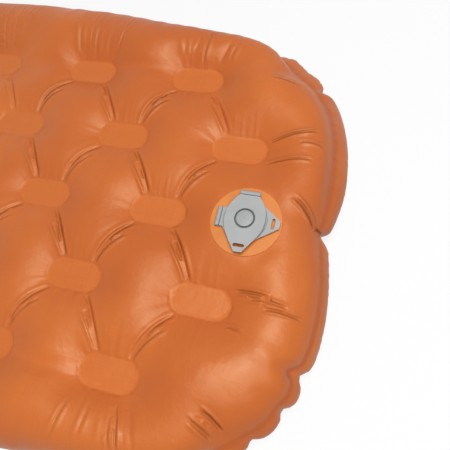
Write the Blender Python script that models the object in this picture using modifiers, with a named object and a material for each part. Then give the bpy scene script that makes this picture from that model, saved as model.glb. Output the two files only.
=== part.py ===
"""Inflatable sleeping pad: two welded films, inner baffle strips and a two-stage flap valve.

Units are metres and +Z is up. The pad lies flat on z = 0 with its head end, which carries the
valve, at +X. The origin is the middle of the pad's plan.
"""

import math

import bmesh
import bpy
from mathutils import Matrix, Vector
from mathutils.geometry import delaunay_2d_cdt

# Overall size of the inflated pad
PAD_LENGTH = 1.830
SHOULDER_WIDTH = 0.551
HEAD_WIDTH = 0.400  # width that the curved sides would reach at the head end
FOOT_WIDTH = 0.400
SHOULDER_X = 0.400
PAD_THICKNESS = 0.070
HEAD_ROUNDING = 0.190  # length over which each end rounds off
FOOT_ROUNDING = 0.190
END_SQUARENESS = 4.0  # exponent of the ends' superellipse
END_NOTCH = 0.014  # fold in the middle of the head end

# Film and the pattern of welds
FILM_THICKNESS = 0.0006
WELD_LENGTH = 0.062
WELD_WIDTH = 0.031
WELD_PITCH = 0.140  # along one row; neighbouring rows are half a pitch apart
ROW_SPACING = 0.084
ROWS_EACH_SIDE = 2
WELD_DEPTH = 0.012  # of a weld below the crest of the film
CREASE_RISE = 0.004  # of the fold between two welds above the welds
HEAD_TO_WELD = 0.186  # from the head end to the first weld of the middle row
EDGE_MARGIN = 0.042  # least distance from a weld to the pad's edge

# Side wall, as heights above the floor and distances in from the edge
WALL_HEIGHT = 0.022  # of the wall's widest line
LAP_LOW = 0.040  # lower edge of the upper film, outside the lower film
LAP_HIGH = 0.048  # upper edge of the lower film, inside the upper film
LAP_INSET = 0.0120  # of the lower film's upper edge
SHOULDER_DROP = 0.010  # of the upper film's shoulder below the crest
FLOOR_EDGE_INSET = 0.012
FLOOR_EDGE_LIFT = 0.003
CREST_INSET = 0.028
FLOOR_BAND = 0.008  # width of the flat band that the pad lies on

# Baffle strips
STRIP_THICKNESS = 0.0008
FOOT_INSET = 0.0015  # of a strip's foot inside its weld

# Valve, with its axis upright through the upper film
VALVE_TO_HEAD = 0.088
SEAT_MARGIN = 0.002  # of flat film round the patch
PATCH_RADIUS = 0.0357
PATCH_THICKNESS = 0.0008
DUMP_BORE_RADIUS = 0.0160
SOCKET_WALL = 0.0035
SOCKET_RISE = 0.0014  # of the socket above the hinge lug
BARREL_DEPTH = 0.006
FLANGE_WIDTH = 0.0065
FLANGE_THICKNESS = 0.0012
DUMP_PLATE = 0.0014
DUMP_DISC_RADIUS = 0.0230
BOSS_RADIUS = 0.0215
BOSS_HEIGHT = 0.0012
SKIRT_WALL = 0.0016
SKIRT_DEPTH = 0.0070
SKIRT_TAPER = 0.0008
PORT_RADIUS = 0.0113
CHECK_WALL = 0.0012
CHECK_RISE = 0.0010  # of the check seat above the dump plate
CHECK_DEPTH = 0.0040  # of the check seat below the dump plate
SPOKES = 3
SPOKE_WIDTH = 0.0016
SPOKE_HEIGHT = 0.0012
HUB_RADIUS = 0.0024
STEM_RADIUS = 0.0010
STEM_HEAD_RADIUS = 0.0016
STEM_HEAD_HEIGHT = 0.0007
FLAP_THICKNESS = 0.0008
FLAP_TRAVEL = 0.0015
INFLATE_PLATE = 0.0015
LENS_HALF_WIDTH = 0.0202
LENS_ARC_RADIUS = 0.0330
COLLAR_WIDTH = 0.0025
COLLAR_THICKNESS = 0.0005
DOME_RISE = 0.0008
DOME_GAP = 0.0006  # dark ring round the dome
PLUG_WALL = 0.0012
PLUG_DEPTH = 0.0040
PLUG_TAPER = 0.0006
TAB_REACH = 0.0342  # from the valve's axis to the tip of a pull tab
TAB_TIP_HALF_WIDTH = 0.0038
SLOT_REACH = 0.0276
SLOT_LENGTH = 0.0110
SLOT_WIDTH = 0.0031
STRAP_WIDTH = 0.0200
STRAP_THICKNESS = 0.0012
STRAP_BUTT = 0.0245  # from the valve's axis to where a strap starts
HINGE_REACH = 0.0298  # from the valve's axis to the outside of a strap's bend

GAP = 0.0003  # between pieces that touch
PLUG_CLEARANCE = 0.0004
STEM_CLEARANCE = 0.00025

# How finely round forms are divided
END_SEGMENTS = 6
SIDE_SEGMENTS = 10
HOLE_SEGMENTS = 12
TURN_STEPS = 32
ARC_SEGMENTS = 8

# Places worked out from the sizes above
HEAD_X = PAD_LENGTH / 2
FOOT_X = -PAD_LENGTH / 2
UPPER_WELD_Z = PAD_THICKNESS - WELD_DEPTH
LOWER_WELD_Z = WELD_DEPTH
SHOULDER_Z = PAD_THICKNESS - SHOULDER_DROP
SEAT_RADIUS = PATCH_RADIUS + SEAT_MARGIN
SOCKET_RADIUS = DUMP_BORE_RADIUS + SOCKET_WALL
HOLE_RADIUS = (SOCKET_RADIUS + GAP) / math.cos(math.pi / HOLE_SEGMENTS)

# Levels of the valve above the film it sits on
PATCH_TOP = GAP + PATCH_THICKNESS
LUG_LOW = PATCH_TOP + GAP
LUG_HIGH = LUG_LOW + STRAP_THICKNESS
SOCKET_TOP = LUG_HIGH + SOCKET_RISE
FLANGE_TOP = -FILM_THICKNESS - GAP
DUMP_LOW = SOCKET_TOP + GAP
DUMP_HIGH = DUMP_LOW + DUMP_PLATE
BOSS_TOP = DUMP_HIGH + BOSS_HEIGHT
COLLAR_LOW = BOSS_TOP + GAP
COLLAR_HIGH = COLLAR_LOW + COLLAR_THICKNESS
INFLATE_LOW = COLLAR_HIGH + GAP
INFLATE_HIGH = INFLATE_LOW + INFLATE_PLATE
LUG_MIDDLE = (LUG_LOW + LUG_HIGH) / 2
DUMP_MIDDLE = (DUMP_LOW + DUMP_HIGH) / 2
INFLATE_MIDDLE = (INFLATE_LOW + INFLATE_HIGH) / 2
CHECK_TOP = DUMP_HIGH + CHECK_RISE
CHECK_LOW = DUMP_LOW - CHECK_DEPTH
CHECK_RADIUS = PORT_RADIUS - GAP
INFLATE_BORE_RADIUS = CHECK_RADIUS - CHECK_WALL
PLUG_RADIUS = INFLATE_BORE_RADIUS - PLUG_CLEARANCE
SPOKE_TOP = CHECK_LOW + SPOKE_HEIGHT


def bend_radius(low, high):
    """Outer radius of a strap's bend between legs whose middles are at these levels."""
    return (high - low + STRAP_THICKNESS) / 2


# Joint axes, from the valve's seat: the dump cap hinges at -X and the inflate cap at +Y
DUMP_HINGE = Vector((bend_radius(LUG_MIDDLE, DUMP_MIDDLE) - HINGE_REACH, 0,
                     (LUG_MIDDLE + DUMP_MIDDLE) / 2))
INFLATE_HINGE = Vector((0, HINGE_REACH - bend_radius(DUMP_MIDDLE, INFLATE_MIDDLE),
                        (DUMP_MIDDLE + INFLATE_MIDDLE) / 2))
VALVE_SEAT = Vector((HEAD_X - VALVE_TO_HEAD, 0, PAD_THICKNESS))


# Scene and materials

def clear_scene():
    for obj in list(bpy.data.objects):
        bpy.data.objects.remove(obj)


def new_collection(name):
    collection = bpy.data.collections.new(name)
    bpy.context.scene.collection.children.link(collection)
    return collection


def new_material(name, colour, roughness):
    material = bpy.data.materials.new(name)
    material.use_nodes = True
    shader = material.node_tree.nodes["Principled BSDF"]
    shader.inputs["Base Color"].default_value = (*colour, 1)
    shader.inputs["Roughness"].default_value = roughness
    shader.inputs["Metallic"].default_value = 0
    material.diffuse_color = (*colour, 1)
    return material


def add_object(name, mesh, material, collection, parent=None, offset=(0, 0, 0)):
    obj = bpy.data.objects.new(name, mesh)
    collection.objects.link(obj)
    obj.parent = parent
    obj.location = offset
    if material:
        mesh.materials.append(material)
    return obj


def add_empty(name, collection, location, parent=None):
    empty = bpy.data.objects.new(name, None)
    collection.objects.link(empty)
    empty.empty_display_size = 0.02
    empty.parent = parent
    empty.location = location
    return empty


def hide_tool(obj):
    """Keeps a cutter or a joined-in body out of the finished model."""
    obj.hide_render = True
    obj.display_type = "WIRE"
    return obj


def boolean(obj, tool, operation):
    modifier = obj.modifiers.new(operation.lower(), "BOOLEAN")
    modifier.operation = operation
    modifier.object = hide_tool(tool)


def smooth(mesh, angle=35):
    mesh.shade_smooth()
    mesh.set_sharp_from_angle(angle=math.radians(angle))


# Basic shapes

def plate_mesh(name, outline, low, high, upright=False):
    """A flat outline given a thickness from low to high, or turned up about X if upright."""
    curve = bpy.data.curves.new(name, "CURVE")
    curve.dimensions = "2D"
    curve.fill_mode = "BOTH"
    curve.extrude = (high - low) / 2
    spline = curve.splines.new("POLY")
    spline.points.add(len(outline) - 1)
    for point, (x, y) in zip(spline.points, outline):
        point.co = (x, y, 0, 1)
    spline.use_cyclic_u = True
    obj = bpy.data.objects.new(name, curve)
    bpy.context.scene.collection.objects.link(obj)
    graph = bpy.context.evaluated_depsgraph_get()
    mesh = bpy.data.meshes.new_from_object(obj.evaluated_get(graph))
    bpy.data.objects.remove(obj)
    mesh.transform(Matrix.Translation((0, 0, (low + high) / 2)))
    if upright:
        mesh.transform(Matrix.Rotation(math.pi / 2, 4, "X"))
    welded = bmesh.new()
    welded.from_mesh(mesh)
    bmesh.ops.remove_doubles(welded, verts=welded.verts, dist=1e-6)
    bmesh.ops.recalc_face_normals(welded, faces=welded.faces)
    welded.to_mesh(mesh)
    welded.free()
    return mesh


def turned(name, profile, material, collection, parent=None, offset=(0, 0, 0), closed=True):
    """A profile of (radius, height) points turned about Z; it runs down its outer side."""
    mesh = bpy.data.meshes.new(name)
    ends = [(i, i + 1) for i in range(len(profile) - 1)]
    if closed:
        ends.append((len(profile) - 1, 0))
    mesh.from_pydata([(r, 0, z) for r, z in profile], ends, [])
    obj = add_object(name, mesh, material, collection, parent, offset)
    screw = obj.modifiers.new("turn", "SCREW")
    screw.steps = screw.render_steps = TURN_STEPS
    screw.use_merge_vertices = True
    screw.merge_threshold = 1e-6
    screw.use_smooth_shade = True
    return obj


def arc(centre, radius, start, end, count=ARC_SEGMENTS):
    """Points of an arc in degrees, both ends included."""
    angles = [math.radians(start + (end - start) * i / count) for i in range(count + 1)]
    return [(centre[0] + radius * math.cos(a), centre[1] + radius * math.sin(a)) for a in angles]


def quarter_turned(outline, quarters):
    """The outline turned about the valve's axis by quarter turns."""
    turn = Matrix.Rotation(quarters * math.pi / 2, 2)
    return [tuple(turn @ Vector(point)) for point in outline]


# Plan of the pad

def side_half_width(x):
    """Half width of the pad's curved sides, before its ends are rounded off."""
    shoulder = SHOULDER_WIDTH / 2
    if x >= SHOULDER_X:
        share = (x - SHOULDER_X) / (HEAD_X - SHOULDER_X)
        return shoulder - (shoulder - HEAD_WIDTH / 2) * share ** 2
    share = (SHOULDER_X - x) / (SHOULDER_X - FOOT_X)
    return shoulder - (shoulder - FOOT_WIDTH / 2) * share ** 2


def end_quarter(tip_x, rounding):
    """One rounded end from the middle of its tip to its side, on the +Y half."""
    power = 2 / END_SQUARENESS
    points = []
    for i in range(END_SEGMENTS + 1):
        angle = math.pi / 2 * (i / END_SEGMENTS) ** 1.5
        along = max(math.cos(angle), 0) ** power
        x = tip_x - math.copysign(rounding, tip_x) * (1 - along)
        points.append((x, side_half_width(x) * math.sin(angle) ** power))
    return points


def pad_outline():
    """The pad's widest line, from the middle of the head end round by +Y and back by -Y."""
    head = end_quarter(HEAD_X, HEAD_ROUNDING)
    foot = end_quarter(FOOT_X, FOOT_ROUNDING)
    start, stop = head[-1][0], foot[-1][0]
    side = [start + (stop - start) * i / SIDE_SEGMENTS for i in range(1, SIDE_SEGMENTS)]
    half = head + [(x, side_half_width(x)) for x in side] + foot[::-1]
    notched = []
    for x, y in half:
        fold = END_NOTCH * max(0, 1 - y / ROW_SPACING) ** 2 if x > 0 else 0
        notched.append(Vector((x - fold, y)))
    short = HEAD_X - max(point.x for point in notched)
    for point in notched[:END_SEGMENTS + 1]:
        point.x += short * (point.x - start) / HEAD_ROUNDING
    mirrored = [Vector((x, -y)) for x, y in notched[-2:0:-1]]
    return notched + mirrored


def inward_normals(outline):
    normals = []
    for i, _ in enumerate(outline):
        along = outline[(i + 1) % len(outline)] - outline[i - 1]
        normals.append(Vector((-along.y, along.x)).normalized())
    return normals


def distance_to_outline(point, outline):
    nearest = math.inf
    for i, start in enumerate(outline):
        step = outline[(i + 1) % len(outline)] - start
        share = max(0, min(1, (point - start).dot(step) / step.length_squared))
        nearest = min(nearest, (start + step * share - point).length)
    return nearest


# Welds between the films

def weld_outline(x, y, inset=0):
    """A weld's six corners: a bar with pointed ends, which stands for its rounded ends."""
    half_length = WELD_LENGTH / 2 - inset
    half_width = WELD_WIDTH / 2 - inset
    straight = half_length - half_width * 0.6
    corners = [(half_length, 0), (straight, half_width), (-straight, half_width)]
    corners += [(-half_length, 0), (-straight, -half_width), (straight, -half_width)]
    return [Vector((x + dx, y + dy)) for dx, dy in corners]


def weld_rows(outline):
    """For each row, its distance from the middle line and the places of its welds along the pad."""
    valve = VALVE_SEAT.to_2d()
    rows = []
    for row in range(-ROWS_EACH_SIDE, ROWS_EACH_SIDE + 1):
        y = row * ROW_SPACING
        x = HEAD_X - HEAD_TO_WELD + WELD_PITCH + (WELD_PITCH / 2 if row % 2 else 0)
        kept = []
        while x > FOOT_X:
            corners = weld_outline(x, y)
            inside = all(abs(c.x) < HEAD_X and abs(c.y) < side_half_width(c.x) for c in corners)
            clear = all(distance_to_outline(c, outline) > EDGE_MARGIN for c in corners)
            off_valve = all((c - valve).length > SEAT_RADIUS + WELD_WIDTH / 2 for c in corners)
            if inside and clear and off_valve:
                kept.append(x)
            x -= WELD_PITCH
        rows.append((y, kept))
    return rows


class FilmNet:
    """Points of a film inside its crest line, with their heights and the edges to keep."""

    def __init__(self):
        self.points = []
        self.heights = []
        self.edges = []

    def add(self, point, height):
        self.points.append(Vector(point))
        self.heights.append(height)

    def add_loop(self, points, height):
        first = len(self.points)
        for i, point in enumerate(points):
            self.add(point, height)
            self.edges.append((first + i, first + (i + 1) % len(points)))


def add_folds(net, rows, weld_z, rise):
    """Middle points of the folds that join each weld to its neighbours in the next row."""
    for (y, places), (next_y, next_places) in zip(rows, rows[1:]):
        for x in places:
            for next_x in next_places:
                if abs(abs(next_x - x) - WELD_PITCH / 2) < WELD_LENGTH / 100:
                    net.add(((x + next_x) / 2, (y + next_y) / 2), weld_z + rise)


def film_mesh(name, rings, rows, weld_z, crest_z, outward, valve_hole):
    """A film: rings of (inset, height) up its side wall, then the net of welds and crests."""
    outline = pad_outline()
    normals = inward_normals(outline)
    net = FilmNet()
    net.add_loop([p + n * rings[-1][0] for p, n in zip(outline, normals)], crest_z)
    seat = VALVE_SEAT.to_2d()
    if valve_hole:
        for radius in (HOLE_RADIUS, SEAT_RADIUS):
            net.add_loop([seat + Vector(p) for p in arc((0, 0), radius, 0, 360, HOLE_SEGMENTS)[:-1]],
                         crest_z)
    for y, places in rows:
        for x in places:
            net.add_loop(weld_outline(x, y), weld_z)
        for x, next_x in zip(places, places[1:]):
            middle = Vector(((x + next_x) / 2, y))
            if not valve_hole or (middle - seat).length > SEAT_RADIUS + WELD_WIDTH / 2:
                net.add(middle, crest_z)
    if valve_hole:
        add_folds(net, rows, weld_z, CREASE_RISE)

    found = delaunay_2d_cdt(net.points, net.edges, [], 1, 1e-7)
    points, faces, sources = found[0], found[2], found[3]
    film = bmesh.new()
    verts = [film.verts.new((p.x, p.y, net.heights[s[0]])) for p, s in zip(points, sources)]
    for face in faces:
        middle = sum((points[i] for i in face), Vector((0, 0))) / len(face)
        if not valve_hole or (middle - seat).length > SOCKET_RADIUS:
            film.faces.new([verts[i] for i in face])
    add_side_wall(film, outline, normals, rings)
    bmesh.ops.remove_doubles(film, verts=film.verts, dist=1e-6)
    bmesh.ops.delete(film, geom=[v for v in film.verts if not v.link_faces], context="VERTS")
    bmesh.ops.recalc_face_normals(film, faces=film.faces)
    if sum(face.normal.z * face.calc_area() for face in film.faces) * outward < 0:
        bmesh.ops.reverse_faces(film, faces=film.faces)
    mesh = bpy.data.meshes.new(name)
    film.to_mesh(mesh)
    film.free()
    smooth(mesh, 60)
    return mesh


def add_side_wall(film, outline, normals, rings):
    """Loops of points round the pad, one for each ring, with a wall of quads between them."""
    loops = []
    for inset, height in rings:
        loops.append([film.verts.new((*(p + n * inset), height)) for p, n in zip(outline, normals)])
    for lower, upper in zip(loops, loops[1:]):
        for i, _ in enumerate(lower):
            film.faces.new((lower[i - 1], lower[i], upper[i], upper[i - 1]))


def lap_inset(height, out=0):
    """How far in from the edge the lapped wall is at a height, moved out by some distance."""
    lean = LAP_INSET / (LAP_HIGH - WALL_HEIGHT)
    return lean * (height - WALL_HEIGHT) - out * math.hypot(1, lean)


def thicken(obj):
    shell = obj.modifiers.new("film", "SOLIDIFY")
    shell.thickness = FILM_THICKNESS
    shell.offset = -1


def make_films(rows, material, collection):
    """The upper film with the valve's hole, and the lower film that lies on the floor."""
    lap = FILM_THICKNESS + GAP
    upper_rings = [(lap_inset(LAP_LOW, lap), LAP_LOW), (lap_inset(SHOULDER_Z, lap), SHOULDER_Z),
                   (CREST_INSET, PAD_THICKNESS)]
    upper = film_mesh("upper_film", upper_rings, rows, UPPER_WELD_Z, PAD_THICKNESS, 1, True)
    thicken(add_object("upper_film", upper, material, collection))
    lower_rings = [(LAP_INSET, LAP_HIGH), (0, WALL_HEIGHT), (FLOOR_EDGE_INSET, FLOOR_EDGE_LIFT),
                   (CREST_INSET, 0), (CREST_INSET + FLOOR_BAND, 0)]
    lower = film_mesh("lower_film", lower_rings, rows, LOWER_WELD_Z, 0, -1, False)
    thicken(add_object("lower_film", lower, material, collection))


# Baffle strips that tie the films together

def strip_feet(name, y, places, low, high):
    """Flat feet at the strip's lower and upper edge, one pair for each weld."""
    feet = bmesh.new()
    for x in places:
        for level in (low, high - STRIP_THICKNESS):
            corners = [(*c, level) for c in weld_outline(x, y, FOOT_INSET)]
            face = feet.faces.new([feet.verts.new(c) for c in corners])
            grown = bmesh.ops.extrude_face_region(feet, geom=[face])["geom"]
            lifted = [item for item in grown if isinstance(item, bmesh.types.BMVert)]
            bmesh.ops.translate(feet, verts=lifted, vec=(0, 0, STRIP_THICKNESS))
    bmesh.ops.recalc_face_normals(feet, faces=feet.faces)
    mesh = bpy.data.meshes.new(name)
    feet.to_mesh(mesh)
    feet.free()
    return mesh


def make_strips(rows, material, collection, tools):
    """One strip on edge under each row of welds, welded to both films by its feet."""
    low = LOWER_WELD_Z + FILM_THICKNESS + GAP
    high = UPPER_WELD_Z - FILM_THICKNESS - GAP
    for number, (y, places) in enumerate(rows, 1):
        name = f"baffle_strip_{number}"
        start, stop = places[-1] - WELD_LENGTH / 4, places[0] + WELD_LENGTH / 4
        bottom, top = low + STRIP_THICKNESS / 2, high - STRIP_THICKNESS / 2
        side = [(start, bottom), (stop, bottom), (stop, top), (start, top)]
        web = plate_mesh(name, side, -STRIP_THICKNESS / 2, STRIP_THICKNESS / 2, upright=True)
        web.transform(Matrix.Translation((0, y, 0)))
        strip = add_object(name, web, material, collection)
        feet = add_object(f"{name}_feet", strip_feet(name, y, places, low, high), None, tools)
        boolean(strip, feet, "UNION")


# Valve pieces, in the valve's own frame: Z is its axis and 0 the top of the film

def strap_outline(low, high):
    """Side view of a living hinge: a leg at each level, joined by a half round bend."""
    outer = bend_radius(low, high)
    inner = outer - STRAP_THICKNESS
    middle = (HINGE_REACH - outer, (low + high) / 2)
    half = STRAP_THICKNESS / 2
    outside = [(STRAP_BUTT + GAP, low - half)] + arc(middle, outer, -90, 90)
    inside = [(STRAP_BUTT + GAP, high + half), (STRAP_BUTT + GAP, high - half)]
    return outside + inside + arc(middle, inner, 90, -90) + [(STRAP_BUTT + GAP, low + half)]


def make_strap(name, low, high, quarters, material, collection, parent, offset):
    """A strap that points along X before it is turned by quarter turns about the valve's axis."""
    half = STRAP_WIDTH / 2
    mesh = plate_mesh(name, strap_outline(low, high), -half, half, upright=True)
    mesh.transform(Matrix.Rotation(quarters * math.pi / 2, 4, "Z"))
    smooth(mesh)
    return add_object(name, mesh, material, collection, parent, offset)


def tongue_box(quarters, low, high, inner):
    """A plate from inside a round body out to where a strap butts on it."""
    half = STRAP_WIDTH / 2
    side = [(inner, -half), (STRAP_BUTT, -half), (STRAP_BUTT, half), (inner, half)]
    return plate_mesh("tongue", quarter_turned(side, quarters), low, high)


def slot_mesh(quarters, low, high):
    """Cutter for the slot of a pull tab that points along X before it is turned."""
    radius = SLOT_WIDTH / 2
    run = SLOT_LENGTH / 2 - radius
    ends = arc((SLOT_REACH, run), radius, 0, 180) + arc((SLOT_REACH, -run), radius, 180, 360)
    return plate_mesh("slot", quarter_turned(ends, quarters), low - DUMP_PLATE, high + DUMP_PLATE)


def make_patch(material, collection, frame):
    ring = [(PATCH_RADIUS, PATCH_TOP), (PATCH_RADIUS, GAP), (HOLE_RADIUS, GAP), (HOLE_RADIUS, PATCH_TOP)]
    return turned("valve_patch", ring, material, collection, frame)


def make_base(material, collection, tools, frame):
    """Socket through the film, with a flange under the film and a lug for the dump cap's strap."""
    flange_radius = SOCKET_RADIUS + FLANGE_WIDTH
    flange_low = FLANGE_TOP - FLANGE_THICKNESS
    profile = [(SOCKET_RADIUS, SOCKET_TOP), (SOCKET_RADIUS, FLANGE_TOP), (flange_radius, FLANGE_TOP),
               (flange_radius, flange_low), (SOCKET_RADIUS, flange_low), (SOCKET_RADIUS, -BARREL_DEPTH),
               (DUMP_BORE_RADIUS, -BARREL_DEPTH), (DUMP_BORE_RADIUS, SOCKET_TOP)]
    base = turned("valve_base", profile, material, collection, frame)
    inner = DUMP_BORE_RADIUS + SOCKET_WALL / 2
    lug = add_object("valve_base_lug", tongue_box(2, LUG_LOW, LUG_HIGH, inner), None, tools, frame)
    boolean(base, lug, "UNION")
    return base


def dump_outline():
    """Dump cap from above: a disc drawn out to a pull tab at +X."""
    tip = Vector((TAB_REACH, TAB_TIP_HALF_WIDTH))
    tangent = math.degrees(math.atan2(tip.y, tip.x) + math.acos(DUMP_DISC_RADIUS / tip.length))
    round_side = arc((0, 0), DUMP_DISC_RADIUS, tangent, 360 - tangent, 3 * ARC_SEGMENTS)
    return [(tip.x, -tip.y), (tip.x, tip.y)] + round_side


def make_dump_cap(material, collection, tools, hinge, offset):
    """Wide cap with a plug for the dump bore, the boss of the inflate port and its own pull tab."""
    cap = add_object("dump_cap", plate_mesh("dump_cap", dump_outline(), DUMP_LOW, DUMP_HIGH),
                     material, collection, hinge, offset)
    bite = DUMP_PLATE / 2
    skirt_radius = DUMP_BORE_RADIUS - PLUG_CLEARANCE
    skirt_low = DUMP_LOW - SKIRT_DEPTH
    skirt = [(skirt_radius, DUMP_LOW + bite), (skirt_radius, DUMP_LOW),
             (skirt_radius - SKIRT_TAPER, skirt_low), (skirt_radius - SKIRT_TAPER - SKIRT_WALL, skirt_low),
             (skirt_radius - SKIRT_WALL, DUMP_LOW + bite)]
    boss = [(BOSS_RADIUS, BOSS_TOP), (BOSS_RADIUS, DUMP_HIGH - bite),
            (PORT_RADIUS - GAP, DUMP_HIGH - bite), (PORT_RADIUS - GAP, BOSS_TOP)]
    port = [(PORT_RADIUS, BOSS_TOP + bite), (PORT_RADIUS, DUMP_LOW - bite), (0, DUMP_LOW - bite)]
    for quarters in (1, 2):
        tongue = tongue_box(quarters, DUMP_LOW, DUMP_HIGH, PORT_RADIUS)
        boolean(cap, add_object("dump_tongue", tongue, None, tools, hinge, offset), "UNION")
    for profile in (skirt, boss):
        boolean(cap, turned("dump_ring", profile, None, tools, hinge, offset), "UNION")
    bore = turned("inflate_port", [(0, BOSS_TOP + bite)] + port, None, tools, hinge, offset, closed=False)
    boolean(cap, bore, "DIFFERENCE")
    slot = add_object("dump_slot", slot_mesh(0, DUMP_LOW, DUMP_HIGH), None, tools, hinge, offset)
    boolean(cap, slot, "DIFFERENCE")
    return cap


def make_check_seat(material, collection, tools, hinge, offset):
    """Ring pressed into the dump cap's port, with spokes and a hub that guide the check flap."""
    ring = [(CHECK_RADIUS, CHECK_TOP), (CHECK_RADIUS, CHECK_LOW), (INFLATE_BORE_RADIUS, CHECK_LOW),
            (INFLATE_BORE_RADIUS, CHECK_TOP)]
    seat = turned("check_seat", ring, material, collection, hinge, offset)
    stem_bore = STEM_RADIUS + STEM_CLEARANCE
    hub = [(HUB_RADIUS, SPOKE_TOP), (HUB_RADIUS, CHECK_LOW), (stem_bore, CHECK_LOW), (stem_bore, SPOKE_TOP)]
    inner, outer = (stem_bore + HUB_RADIUS) / 2, (INFLATE_BORE_RADIUS + CHECK_RADIUS) / 2
    half = SPOKE_WIDTH / 2
    inset = SPOKE_HEIGHT / 8  # keeps the spokes off the level of the ring's lower face
    for i in range(SPOKES):
        spoke = plate_mesh("spoke", [(inner, -half), (outer, -half), (outer, half), (inner, half)],
                           CHECK_LOW + inset, SPOKE_TOP - inset)
        spoke.transform(Matrix.Rotation(2 * math.pi * i / SPOKES, 4, "Z"))
        boolean(seat, add_object("spoke", spoke, None, tools, hinge, offset), "UNION")
    boolean(seat, turned("check_hub", hub, None, tools, hinge, offset), "UNION")
    return seat


def make_check_flap(material, collection, slide, offset):
    """One-way flap under the check seat, on a stem whose head stops its travel."""
    flap_top = CHECK_LOW - GAP
    flap_radius = (INFLATE_BORE_RADIUS + CHECK_RADIUS) / 2
    head_low = SPOKE_TOP + FLAP_TRAVEL + GAP
    profile = [(0, head_low + STEM_HEAD_HEIGHT), (STEM_HEAD_RADIUS, head_low + STEM_HEAD_HEIGHT),
               (STEM_HEAD_RADIUS, head_low), (STEM_RADIUS, head_low), (STEM_RADIUS, flap_top),
               (flap_radius, flap_top), (flap_radius, flap_top - FLAP_THICKNESS),
               (0, flap_top - FLAP_THICKNESS)]
    return turned("check_flap", profile, material, collection, slide, offset, closed=False)


def inflate_outline():
    """Inflate cap from above: a lens drawn out to a pull tab at +X, with a strap's width at -X."""
    centre_y = LENS_HALF_WIDTH - LENS_ARC_RADIUS
    strap_half = STRAP_WIDTH / 2
    back = math.degrees(math.acos(-math.sqrt(1 - ((strap_half - centre_y) / LENS_ARC_RADIUS) ** 2)))
    tip = Vector((TAB_REACH, TAB_TIP_HALF_WIDTH)) - Vector((0, centre_y))
    front = math.degrees(math.atan2(tip.y, tip.x) + math.acos(LENS_ARC_RADIUS / tip.length))
    upper = arc((0, centre_y), LENS_ARC_RADIUS, front, back, 2 * ARC_SEGMENTS)
    upper = [(TAB_REACH, TAB_TIP_HALF_WIDTH)] + upper + [(-STRAP_BUTT, strap_half)]
    return upper + [(x, -y) for x, y in reversed(upper)]


def make_inflate_cap(material, collection, tools, hinge, offset):
    """Lens-shaped flap over the inflate port, with its pull tab at -Y."""
    outline = quarter_turned(inflate_outline(), -1)
    cap = add_object("inflate_cap", plate_mesh("inflate_cap", outline, INFLATE_LOW, INFLATE_HIGH),
                     material, collection, hinge, offset)
    over = INFLATE_PLATE / 2
    hole = PLUG_RADIUS + DOME_GAP
    cylinder = [(0, INFLATE_HIGH + over), (hole, INFLATE_HIGH + over), (hole, INFLATE_LOW - over),
                (0, INFLATE_LOW - over)]
    boolean(cap, turned("dome_hole", cylinder, None, tools, hinge, offset, closed=False), "DIFFERENCE")
    slot = add_object("inflate_slot", slot_mesh(-1, INFLATE_LOW, INFLATE_HIGH), None, tools, hinge, offset)
    boolean(cap, slot, "DIFFERENCE")
    return cap


def make_inflate_plug(material, collection, hinge, offset):
    """Domed plug in the inflate cap: its collar holds it under the flap and its skirt closes the port."""
    low = COLLAR_LOW - PLUG_DEPTH
    collar = PLUG_RADIUS + COLLAR_WIDTH
    dome = [(PLUG_RADIUS * math.sin(a), INFLATE_HIGH + DOME_RISE * math.cos(a))
            for a in (math.pi / 2 * i / ARC_SEGMENTS for i in range(ARC_SEGMENTS + 1))]
    skirt_low = PLUG_RADIUS - PLUG_TAPER
    profile = dome + [(PLUG_RADIUS, COLLAR_HIGH), (collar, COLLAR_HIGH), (collar, COLLAR_LOW),
                      (PLUG_RADIUS, COLLAR_LOW), (skirt_low, low), (skirt_low - PLUG_WALL, low),
                      (skirt_low - PLUG_WALL, COLLAR_HIGH), (0, COLLAR_HIGH)]
    return turned("inflate_plug", profile, material, collection, hinge, offset, closed=False)


def make_valve(materials, collection, tools):
    """The valve on its seat; each cap hangs on an empty that stands on its hinge's axis."""
    grey, clear, patch = materials
    frame = add_empty("valve_frame", collection, VALVE_SEAT)
    dump_hinge = add_empty("dump_hinge", collection, DUMP_HINGE, frame)
    inflate_hinge = add_empty("inflate_hinge", collection, INFLATE_HINGE - DUMP_HINGE, dump_hinge)
    on_dump, on_inflate = -DUMP_HINGE, -INFLATE_HINGE
    make_patch(patch, collection, frame)
    make_base(grey, collection, tools, frame)
    make_strap("dump_strap", LUG_MIDDLE, DUMP_MIDDLE, 2, grey, collection, frame, (0, 0, 0))
    make_dump_cap(grey, collection, tools, dump_hinge, on_dump)
    make_check_seat(grey, collection, tools, dump_hinge, on_dump)
    make_check_flap(clear, collection, dump_hinge, on_dump)
    make_strap("inflate_strap", DUMP_MIDDLE, INFLATE_MIDDLE, 1, grey, collection, dump_hinge, on_dump)
    make_inflate_cap(grey, collection, tools, inflate_hinge, on_inflate)
    make_inflate_plug(grey, collection, inflate_hinge, on_inflate)


def main():
    clear_scene()
    pad = new_collection("sleeping_pad")
    tools = new_collection("cutters_and_joined_bodies")
    orange = new_material("orange_film", (0.62, 0.19, 0.06), 0.45)
    patch = new_material("orange_patch", (0.75, 0.24, 0.06), 0.5)
    inner = new_material("inner_film", (0.55, 0.30, 0.16), 0.6)
    grey = new_material("grey_moulding", (0.46, 0.48, 0.48), 0.55)
    clear = new_material("clear_silicone", (0.75, 0.76, 0.76), 0.3)
    rows = weld_rows(pad_outline())
    make_films(rows, orange, pad)
    make_strips(rows, inner, pad, tools)
    make_valve((grey, clear, patch), pad, tools)


main()
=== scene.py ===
import math

import bpy
import numpy as np
from mathutils import Euler, Matrix, Vector
from mathutils.geometry import delaunay_2d_cdt


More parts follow.
